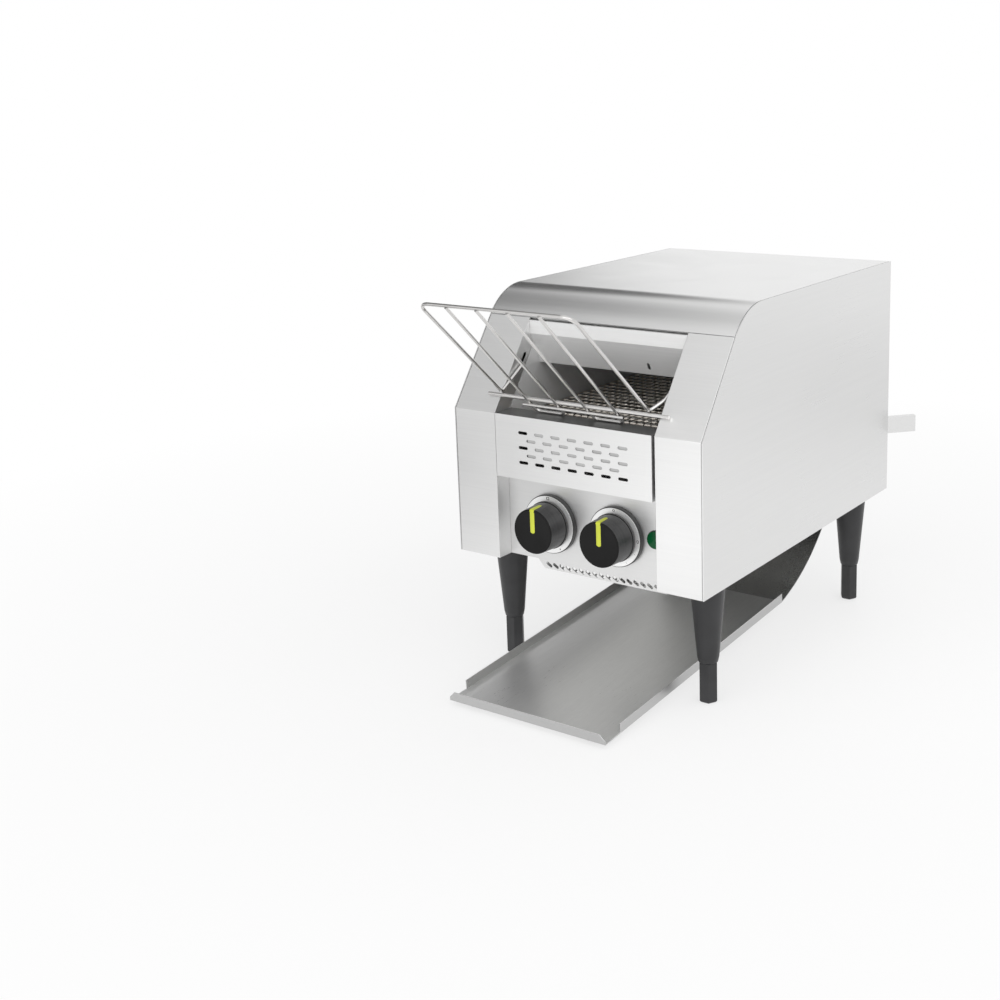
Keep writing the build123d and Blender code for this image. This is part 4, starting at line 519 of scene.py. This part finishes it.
# Upward faces of the tray take the lighter copy: painted light.
refinish(bpy.data.objects["exit_tray_rounded"], TRAY_FLOOR_PAINTED_LIGHT, lambda face: face.normal.z > 0.9)
for corner in ("front_left", "front_right", "rear_left", "rear_right"):
    softened_copy(corner + "_leg", 0.6 * MM, 3)
    softened_copy(corner + "_foot", 0.5 * MM, 2)

# ---------------------------------------------------------------- knobs and their pointers

KNOB_RIM = 1.5 * MM
KNOB_DISH = 0.5 * MM
KNOB_DISH_IN, KNOB_DISH_OUT = 2, 1.4  # where the dish starts and ends, in rims from the edge
KNOB_SKIRT = 2.6 * MM
KNOB_SKIRT_STEP = 0.6 * MM
KNOB_SKIRT_ROUND = 0.5 * MM
KNOB_DRAFT = 1.0 * MM
POINTER_HALF = 2.6 * MM
POINTER_RISE = 0.25 * MM
POINTER_SINK = 0.6 * MM
POINTER_COLUMNS = 4
POINTER_ROOT = ((-1.6, 0.2), (-1.1, 0.75))  # place in mm from the knob's middle, share of the width
POINTER_TIP = ((0.3, 1.0), (0.6, 0.94), (0.85, 0.86), (0.96, 0.7), (1.0, 0.4))  # shares of side and width


def knob_profile(low, high):
    """Outline from the middle of the face, over the rim, to the skirt's back edge."""
    face, back = low.y, high.y
    outer = (high.x - low.x) / 2
    root = outer - KNOB_SKIRT_STEP
    rim = root - KNOB_DRAFT
    skirt = back - KNOB_SKIRT
    dish = face + KNOB_DISH
    points = [(0.0, dish), (rim - KNOB_DISH_IN * KNOB_RIM, dish), (rim - KNOB_DISH_OUT * KNOB_RIM, face)]
    points += arc((rim - KNOB_RIM, face + KNOB_RIM), KNOB_RIM, -90, 0, 6)
    points += [(root, skirt)]
    points += arc((outer - KNOB_SKIRT_ROUND, skirt + KNOB_SKIRT_ROUND), KNOB_SKIRT_ROUND, -90, 0, 3)
    return points + [(outer, back), (0.0, back)]


def knob(control):
    """Turned body whose face is duller than its side."""
    low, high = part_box(control + "_knob")
    centre = ((low.x + high.x) / 2, 0, (low.z + high.z) / 2)
    piece = add_piece(control + "_knob_body", turned(knob_profile(low, high), centre, (0, 1, 0)),
                      control + "_knob")
    piece.data.materials.append(KNOB_FACE)
    for face in piece.data.polygons:
        face.material_index = 1 if face.normal.y < -0.25 else 0
    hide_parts(control + "_knob")


def pointer(control):
    """Inlaid strip from the middle of the face over the rim, tapering along the side."""
    knob_low, knob_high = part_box(control + "_knob")
    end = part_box(control + "_pointer")[1].y
    middle = (knob_low.x + knob_high.x) / 2
    centre_z = (knob_low.z + knob_high.z) / 2
    rim = (knob_high.x - knob_low.x) / 2 - KNOB_SKIRT_STEP - KNOB_DRAFT
    face = knob_low.y
    dish = face + KNOB_DISH
    path = [(dish, place * MM, width) for place, width in POINTER_ROOT]
    path += [(dish, 0.0, 1.0), (dish, rim - 3.2 * MM, 1.0), (face, rim - 2.1 * MM, 1.0)]
    path += [(y, z, 1.0) for z, y in arc((rim - KNOB_RIM, face + KNOB_RIM), KNOB_RIM, -75, 0, 5)]
    slope = KNOB_DRAFT / (knob_high.y - KNOB_SKIRT - face - KNOB_RIM)
    for share, width in POINTER_TIP:
        reach = share * (end - face - KNOB_RIM)
        path.append((face + KNOB_RIM + reach, rim + reach * slope, width))
    shape = bmesh.new()
    bmesh.ops.create_grid(shape, x_segments=POINTER_COLUMNS, y_segments=len(path) - 1, size=1.0)
    for vert in shape.verts:
        y, z, width = path[round((vert.co.y + 1) / 2 * (len(path) - 1))]
        crown = (1 - vert.co.x ** 2) * POINTER_RISE
        out = 1 if z > rim - KNOB_RIM / 2 else 0
        vert.co = Vector((middle + vert.co.x * POINTER_HALF * width, y - crown * (1 - out),
                          centre_z + z + crown * out))
    bmesh.ops.recalc_face_normals(shape, faces=shape.faces)
    if sum(face.normal.y for face in shape.faces) > 0:
        bmesh.ops.reverse_faces(shape, faces=shape.faces)
    bmesh.ops.solidify(shape, geom=shape.faces[:], thickness=POINTER_SINK)
    piece = add_piece(control + "_pointer_inlay", shape, control + "_pointer", sharp=60.0)
    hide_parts(control + "_pointer")


for control in ("function", "speed"):
    knob(control)
    pointer(control)

# ---------------------------------------------------------------- dials and lamp

MARK_RISE = 0.06 * MM
MARK_RADIUS = 26.9 * MM
RING_BARS = 20
RING_OVERLAP = 1.15
# Bars as (degrees, offset outwards, length, width) and rings as (degrees, height, width, line), in mm.
FUNCTION_BARS = ((-3, 0, 2.4, 0.5), (3, 0, 2.4, 0.5), (0, -1.2, 0.5, 3.2), (0, 1.2, 0.5, 3.2),
                 (150, 0, 1.4, 1.0), (-110, 0, 1.4, 1.0))
SPEED_RINGS = ((90, 2.8, 2.0, 0.45), (0, 1.9, 2.4, 0.4))
SPEED_BARS = tuple((degrees, 0, 1.2, 0.3) for degrees in range(120, 300, 30))
LAMP_SAG = 1.0 * MM


def dial_centre(control):
    """Middle of a dial, where the marks' middle plane lies."""
    low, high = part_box(control + "_knob")
    return Vector(((low.x + high.x) / 2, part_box("dial_plates")[0].y - MARK_RISE / 2, (low.z + high.z) / 2))


def bar_mark(shape, centre, degrees, radius, length, width):
    """Raised bar on the dial, pointing at its middle; 0 degrees is 12 o'clock."""
    turn = Matrix.Rotation(math.radians(degrees), 4, "Y")
    place = Matrix.Translation(centre) @ turn @ Matrix.Translation((0, 0, radius))
    size = Matrix.Diagonal((width, MARK_RISE, length, 1))
    bmesh.ops.create_cube(shape, size=1.0, matrix=place @ size)


def ring_mark(shape, centre, degrees, radius, height, width, line):
    """Raised oval ring on the dial, upright."""
    turn = math.radians(degrees)
    middle = centre + Vector((math.sin(turn), 0, math.cos(turn))) * radius
    step = math.tau / RING_BARS * max(height, width) / 2
    for i in range(RING_BARS):
        angle = math.tau * i / RING_BARS
        spot = middle + Vector((width / 2 * math.sin(angle), 0, height / 2 * math.cos(angle)))
        lie = Matrix.Rotation(angle, 4, "Y")
        size = Matrix.Diagonal((step * RING_OVERLAP, MARK_RISE, line, 1))
        bmesh.ops.create_cube(shape, size=1.0, matrix=Matrix.Translation(spot) @ lie @ size)


def dial_marks():
    """A square and dots on the left dial, a ring, a zero and ticks on the right one."""
    shape = bmesh.new()
    left, right = dial_centre("function"), dial_centre("speed")
    for degrees, out, length, width in FUNCTION_BARS:
        bar_mark(shape, left, degrees, MARK_RADIUS + out * MM, length * MM, width * MM)
    for degrees, height, width, line in SPEED_RINGS:
        ring_mark(shape, right, degrees, MARK_RADIUS, height * MM, width * MM, line * MM)
    for degrees, out, length, width in SPEED_BARS:
        bar_mark(shape, right, degrees, MARK_RADIUS + out * MM, length * MM, width * MM)
    add_piece("dial_marks", shape, "dial_plates", finish=MARK_INK)


def lamp_lens():
    """Shallow green dome over the lamp's neck."""
    low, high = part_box("lamp_lens")
    centre = ((low.x + high.x) / 2, 0, (low.z + high.z) / 2)
    radius = (high.x - low.x) / 2
    sphere = (radius ** 2 + LAMP_SAG ** 2) / (2 * LAMP_SAG)
    rise = math.degrees(math.asin(radius / sphere))
    profile = arc((0, low.y + sphere), sphere, -90, -90 + rise, 10) + [(radius, high.y), (0, high.y)]
    piece = add_piece("lamp_dome", turned(profile, centre, (0, 1, 0), 48), "lamp_lens")
    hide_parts("lamp_lens")


dial_marks()
softened_copy("dial_plates", 0.2 * MM)
softened_copy("dial_seats", 0.4 * MM)
lamp_lens()
softened_copy("lamp_body", 0.2 * MM)

# ---------------------------------------------------------------- conveyor belt

BELT_PITCH = 12.7 * MM
BELT_TEETH = 8
ROD = 1.0 * MM
LINK = 0.45 * MM
LINK_PITCH = 8.2 * MM
BAND_INSET = 1.5 * MM
ROD_SIDES, LINK_SIDES, LINK_STEPS = 10, 4, 8


def half_turn(radius):
    """Offsets (y, z) from the rear wheel's axis to the rods round it, from the top down."""
    turns = [math.tau * i / BELT_TEETH for i in range(BELT_TEETH // 2)]
    return [(radius * math.sin(turn), radius * math.cos(turn)) for turn in turns]


def belt_rods():
    """Rod centres (y, z) in order round the belt, starting above the front shaft."""
    front = Vector(JOINTS["idler_spin"]["pos_m"])
    rear = Vector(JOINTS["drive_spin"]["pos_m"])
    radius = BELT_PITCH / (2 * math.sin(math.pi / BELT_TEETH))
    bays = round((rear.y - front.y) / BELT_PITCH)
    rods = [(front.y + i * BELT_PITCH, front.z + radius) for i in range(bays)]
    rods += [(y + rear.y, z + rear.z) for y, z in half_turn(radius)]
    rods += [(rear.y - i * BELT_PITCH, rear.z - radius) for i in range(bays)]
    return rods + [(front.y - y, front.z - z) for y, z in half_turn(radius)]


def wire_link():
    """Closed loop of thin wire that hugs two neighbouring rods, as a template mesh."""
    shape = bmesh.new()
    place = Matrix.Translation((0, ROD + LINK, 0)) @ Matrix.Rotation(math.pi / 2, 4, "Y")
    bmesh.ops.create_circle(shape, segments=LINK_SIDES, radius=LINK, matrix=place)
    bmesh.ops.spin(shape, geom=shape.verts[:] + shape.edges[:], cent=(0, 0, 0), axis=(1, 0, 0),
                   angle=math.tau, steps=LINK_STEPS, use_merge=True)
    bmesh.ops.remove_doubles(shape, verts=shape.verts, dist=SPIN_WELD)
    bmesh.ops.recalc_face_normals(shape, faces=shape.faces)
    for vert in shape.verts:
        if abs(vert.co.y) > 0.1 * MM:
            vert.co.y += math.copysign(BELT_PITCH / 2, vert.co.y)
    mesh = bpy.data.meshes.new("link")
    shape.to_mesh(mesh)
    shape.free()
    return mesh


def conveyor_belt():
    """Rods round both rollers, and links between them that step left and right in turn."""
    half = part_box("conveyor_belt")[1].x
    rods = belt_rods()
    link = wire_link()
    shape = bmesh.new()
    lie = Matrix.Rotation(math.pi / 2, 4, "Y")
    reach = half - BAND_INSET
    count = round(2 * reach / LINK_PITCH)
    columns = [-reach + 2 * reach * k / count for k in range(count + 1)]
    for i, (y, z) in enumerate(rods):
        bmesh.ops.create_cone(shape, cap_ends=True, segments=ROD_SIDES, radius1=ROD, radius2=ROD,
                              depth=2 * half, matrix=Matrix.Translation((0, y, z)) @ lie)
        next_y, next_z = rods[(i + 1) % len(rods)]
        tilt = Matrix.Rotation(math.atan2(next_z - z, next_y - y), 4, "X")
        for k, x in enumerate(columns):
            step = LINK if (i + k) % 2 else -LINK
            place = Matrix.Translation((x + step, (y + next_y) / 2, (z + next_z) / 2)) @ tilt
            add_copy(shape, link, place)
    bpy.data.meshes.remove(link)
    piece = add_piece("belt_mesh", shape, "conveyor_belt")
    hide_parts("conveyor_belt")


conveyor_belt()

# ---------------------------------------------------------------- screws

SCREW_HEAD = 2.0 * MM
SCREW_STEPS = 20
SCREW_PROFILE = ((0.72, 1.0), (0.92, 0.72), (1.0, 0.35), (1.0, 0.0))  # shares of radius and height
CROSS_SLIM, CROSS_REACH, CROSS_DEPTH = 0.11, 0.48, 0.55  # shares of radius, radius and height
ROUND_WITHIN, HEAD_FLATTER = 0.2 * MM, 0.5 * MM  # how an upright screw is told from a lying one


def screw_head(shape, place, radius, height):
    """Pan head with a cross recess, along -Z of the given place."""
    cross = bmesh.new()
    bmesh.ops.create_grid(cross, x_segments=3, y_segments=3, size=1.0)
    for vert in cross.verts:
        for k in (0, 1):
            spot = vert.co[k]
            vert.co[k] = math.copysign(CROSS_REACH if abs(spot) > 0.5 else CROSS_SLIM, spot) * radius
        vert.co.z = -height
    clear = CROSS_SLIM * radius * 1.5
    middles = {face: face.calc_center_median() for face in cross.faces}
    corners = [face for face, spot in middles.items() if abs(spot.x) > clear and abs(spot.y) > clear]
    bmesh.ops.delete(cross, geom=corners, context="FACES")
    sunk = bmesh.ops.extrude_face_region(cross, geom=cross.faces[:])
    moved = [item for item in sunk["geom"] if isinstance(item, bmesh.types.BMVert)]
    bmesh.ops.translate(cross, verts=moved, vec=(0, 0, height * CROSS_DEPTH))
    old = [face for face in cross.faces if abs(face.calc_center_median().z + height) < height * 0.01
           and abs(face.normal.z) > 0.9]
    bmesh.ops.delete(cross, geom=old, context="FACES_ONLY")
    rim = [edge for edge in cross.edges if edge.is_boundary]
    rings = []
    for share, drop in SCREW_PROFILE:
        ring = bmesh.ops.create_circle(cross, segments=SCREW_STEPS, radius=radius * share,
                                       matrix=Matrix.Translation((0, 0, -height * drop)))
        rings.append(list({edge for vert in ring["verts"] for edge in vert.link_edges}))
    bmesh.ops.bridge_loops(cross, edges=rim + rings[0])
    for outer, inner in zip(rings[1:], rings):
        bmesh.ops.bridge_loops(cross, edges=outer + inner)
    bmesh.ops.contextual_create(cross, geom=rings[-1])
    bmesh.ops.recalc_face_normals(cross, faces=cross.faces)
    bmesh.ops.transform(cross, matrix=place, verts=cross.verts)
    mesh = bpy.data.meshes.new("screw")
    cross.to_mesh(mesh)
    cross.free()
    shape.from_mesh(mesh)
    bpy.data.meshes.remove(mesh)


def separate_parts(shape):
    """Corner points of each loose part of a bmesh, as (low, high)."""
    left = set(shape.verts)
    boxes = []
    while left:
        group = [left.pop()]
        for vert in group:
            for edge in vert.link_edges:
                other = edge.other_vert(vert)
                if other in left:
                    left.discard(other)
                    group.append(other)
        spots = [vert.co for vert in group]
        boxes.append((Vector([min(spot[k] for spot in spots) for k in range(3)]),
                      Vector([max(spot[k] for spot in spots) for k in range(3)])))
    return boxes


def case_screws():
    """Pan heads with a cross recess, each turned its own way, in place of the plain ones."""
    known = merged_copy("case_screws")
    shape = bmesh.new()
    for low, high in separate_parts(known):
        middle, size = (low + high) / 2, high - low
        upright = size.z < size.y + HEAD_FLATTER and abs(size.x - size.y) < ROUND_WITHIN
        spin = Matrix.Rotation(0.6 + 17 * middle.x + 29 * middle.z, 4, "Z")
        if upright:
            place = Matrix.Translation((middle.x, middle.y, low.z + SCREW_HEAD))
        else:
            place = Matrix.Translation((middle.x, high.y - SCREW_HEAD, middle.z))
            place = place @ Matrix.Rotation(math.pi / 2, 4, "X")
        screw_head(shape, place @ spin, size.x / 2, SCREW_HEAD)
    known.free()
    piece = add_piece("case_screw_heads", shape, "case_screws")
    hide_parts("case_screws")


case_screws()

# ---------------------------------------------------------------- perforated lip and small parts

LIP_DROP = 9.0 * MM
LIP_SLOTS = 17
LIP_FIRST_X = -45.4 * MM
LIP_SLOT_PITCH = 7.95 * MM
LIP_WEB = (1.8 * MM, 0.8 * MM, 9.0 * MM)
LIP_WEB_TILT = 40.0
LIP_WEB_BEHIND = 3.0 * MM
LIP_PLATE_THICK, LIP_PLATE_HIGH = 0.8 * MM, 8.0 * MM
LIP_CLOSED = 2            # slots with sheet behind them, from the left


def lip_webs():
    """Second row of slanting webs, of the lip's folded back, which crosses the slots, and a plate behind the
    first slots; both are dark steel, as painted shade.
    """
    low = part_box("control_panel")[0]
    behind, middle_z = low.y + LIP_WEB_BEHIND, low.z + LIP_DROP / 2
    shape = bmesh.new()
    tilt = Matrix.Rotation(math.radians(LIP_WEB_TILT), 4, "Y")
    for i in range(LIP_CLOSED, LIP_SLOTS):
        place = Matrix.Translation((LIP_FIRST_X + i * LIP_SLOT_PITCH, behind, middle_z))
        bmesh.ops.create_cube(shape, size=1.0, matrix=place @ tilt @ Matrix.Diagonal((*LIP_WEB, 1)))
    closed = LIP_CLOSED * LIP_SLOT_PITCH
    place = Matrix.Translation((LIP_FIRST_X + closed / 2 - LIP_SLOT_PITCH / 2, behind, middle_z))
    plate = Matrix.Diagonal((closed, LIP_PLATE_THICK, LIP_PLATE_HIGH, 1))
    bmesh.ops.create_cube(shape, size=1.0, matrix=place @ plate)
    add_piece("lip_webs", shape, "control_panel", finish=LIP_PAINTED_SHADE)


lip_webs()
SMALL_PARTS = {           # widths of the rounded edges, mm
    "cable_gland": 0.6, "gear_motor": 0.6, "motor_bracket": 0.3, "fan_frame": 0.4, "terminal_block": 0.3,
    "function_switch": 0.4, "speed_regulator": 0.3, "tray_pads": 0.5, "control_board": 0.2,
}
for name, width in SMALL_PARTS.items():
    softened_copy(name, width * MM)

# ---------------------------------------------------------------- floor, light and camera

GROUND_REACH = 12.0       # metres each way
GROUND_DROP = 0.2 * MM    # below the feet
GLOW = (0.4, 1.2, 0.68)   # radius where the floor starts to whiten, radius where it is white, first share
# What reflections see of the floor: centre (x, y), inner and outer radius, brightness inside.
FLOOR_SPOTS = (((-0.86, -0.64), 0.26, 0.64, 0.15), ((-0.10, -0.75), 0.1, 0.5, 1.6),
               ((0.7, 1.3), 0.2, 0.8, 0.84))
# Direction, degrees about it that are darkest, degrees where the card ends, share taken away.
DARK_CARDS = (((-0.722, 0.595, 0.354), 14.0, 20.3, 0.88), ((-0.880, 0.070, 0.475), 21.0, 38.5, 0.75),
              ((-0.78, -0.40, 0.48), 9.0, 22.5, 0.62))
# Name, place, target, size in metres, watts.
SOFT_BOXES = (("key", (1.6, -1.4, 2.2), (0, 0, 0.2), 1.6, 8),
              ("front fill", (0.2, -2.4, 1.1), (0, 0, 0.28), 1.4, 6))
CAMERA_PLACE = Vector((0.7727, -1.2434, 0.6056))
CAMERA_YAW, CAMERA_PITCH, CAMERA_ROLL = 34.521, 11.929, -1.331
CAMERA_LENS, SENSOR = 51.55, 36.0
CAMERA_SHIFT = (-0.10, -0.13)


def soft_spot(tree, place, centre, inner, outer, inside, outside=1.0):
    """Value that goes smoothly from one level inside a circle on the floor to another outside it."""
    away = put(tree, "ShaderNodeVectorMath", operation="DISTANCE")
    join(tree, place, away.inputs[0])
    away.inputs[1].default_value = (*centre, 0)
    return contrast(tree, away.outputs["Value"], inner, outer, inside, outside)


def white_ground():
    """Large pale floor that keeps the object's shadow and fades to white further out."""
    mesh = bpy.data.meshes.new("ground")
    shape = bmesh.new()
    bmesh.ops.create_grid(shape, x_segments=1, y_segments=1, size=GROUND_REACH)
    shape.to_mesh(mesh)
    shape.free()
    ground = bpy.data.objects.new("ground", mesh)
    bpy.context.scene.collection.objects.link(ground)
    ground.location.z = -GROUND_DROP
    material, tree, shader = new_material("Ground", Base_Color=(0.92, 0.92, 0.92, 1), Roughness=0.7,
                                          Specular_IOR_Level=0.1)
    place = put(tree, "ShaderNodeTexCoord").outputs["Object"]
    mirrored = product(tree, [soft_spot(tree, place, *spot) for spot in FLOOR_SPOTS])
    glow = put(tree, "ShaderNodeEmission", Color=(1, 1, 1, 1))
    paths = put(tree, "ShaderNodeLightPath")
    strength = put(tree, "ShaderNodeMix", data_type="FLOAT")
    strength.inputs[3].default_value = 1.0
    join(tree, paths.outputs["Is Camera Ray"], strength.inputs[0])
    join(tree, mirrored, strength.inputs[2])
    join(tree, strength.outputs[0], glow.inputs["Strength"])
    mix_shaders(tree, soft_spot(tree, place, (0, 0), *GLOW), shader.outputs["BSDF"],
                glow.outputs["Emission"], "Material Output")
    mesh.materials.append(material)


def studio_world():
    """White room with soft dark cards, which only light and reflections see."""
    world = bpy.data.worlds.new("Studio")
    world.use_nodes = True
    bpy.context.scene.world = world
    tree = world.node_tree
    room = tree.nodes["Background"]
    room.inputs["Color"].default_value = (1, 1, 1, 1)
    place = put(tree, "ShaderNodeTexCoord")
    shades = []
    for direction, inner, outer, depth in DARK_CARDS:
        dot = put(tree, "ShaderNodeVectorMath", operation="DOT_PRODUCT")
        join(tree, place.outputs["Generated"], dot.inputs[0])
        dot.inputs[1].default_value = Vector(direction).normalized()
        edge, middle = (math.cos(math.radians(angle)) for angle in (outer, inner))
        shades.append(contrast(tree, dot.outputs["Value"], edge, middle, 1.0, 1.0 - depth, "SMOOTHSTEP"))
    join(tree, product(tree, shades), room.inputs["Strength"])
    seen = put(tree, "ShaderNodeBackground", Color=(1, 1, 1, 1), Strength=1.0)
    paths = put(tree, "ShaderNodeLightPath")
    mix_shaders(tree, paths.outputs["Is Camera Ray"], room.outputs["Background"],
                seen.outputs["Background"], "World Output")


def soft_box(name, place, target, size, power):
    """Square area light that faces its target."""
    lamp = bpy.data.lights.new(name, "AREA")
    lamp.shape = "SQUARE"
    lamp.size = size
    lamp.energy = power
    box = bpy.data.objects.new(name, lamp)
    box.location = place
    box.rotation_euler = (Vector(target) - Vector(place)).to_track_quat("-Z", "Y").to_euler()
    bpy.context.scene.collection.objects.link(box)


def three_quarter_camera():
    """Camera before the object's right front corner, a little above it."""
    camera = bpy.data.cameras.new("Camera")
    camera.lens, camera.sensor_width = CAMERA_LENS, SENSOR
    camera.shift_x, camera.shift_y = CAMERA_SHIFT
    camera.clip_end = 100
    holder = bpy.data.objects.new("Camera", camera)
    yaw, pitch, roll = (math.radians(angle) for angle in (CAMERA_YAW, CAMERA_PITCH, CAMERA_ROLL))
    turn = (Matrix.Rotation(yaw, 4, "Z") @ Matrix.Rotation(math.pi / 2 - pitch, 4, "X")
            @ Matrix.Rotation(roll, 4, "Z"))
    holder.matrix_world = Matrix.Translation(CAMERA_PLACE) @ turn
    bpy.context.scene.collection.objects.link(holder)
    bpy.context.scene.camera = holder


white_ground()
studio_world()
for soft_light in SOFT_BOXES:
    soft_box(*soft_light)
three_quarter_camera()
bpy.context.scene.view_settings.view_transform = "Standard"
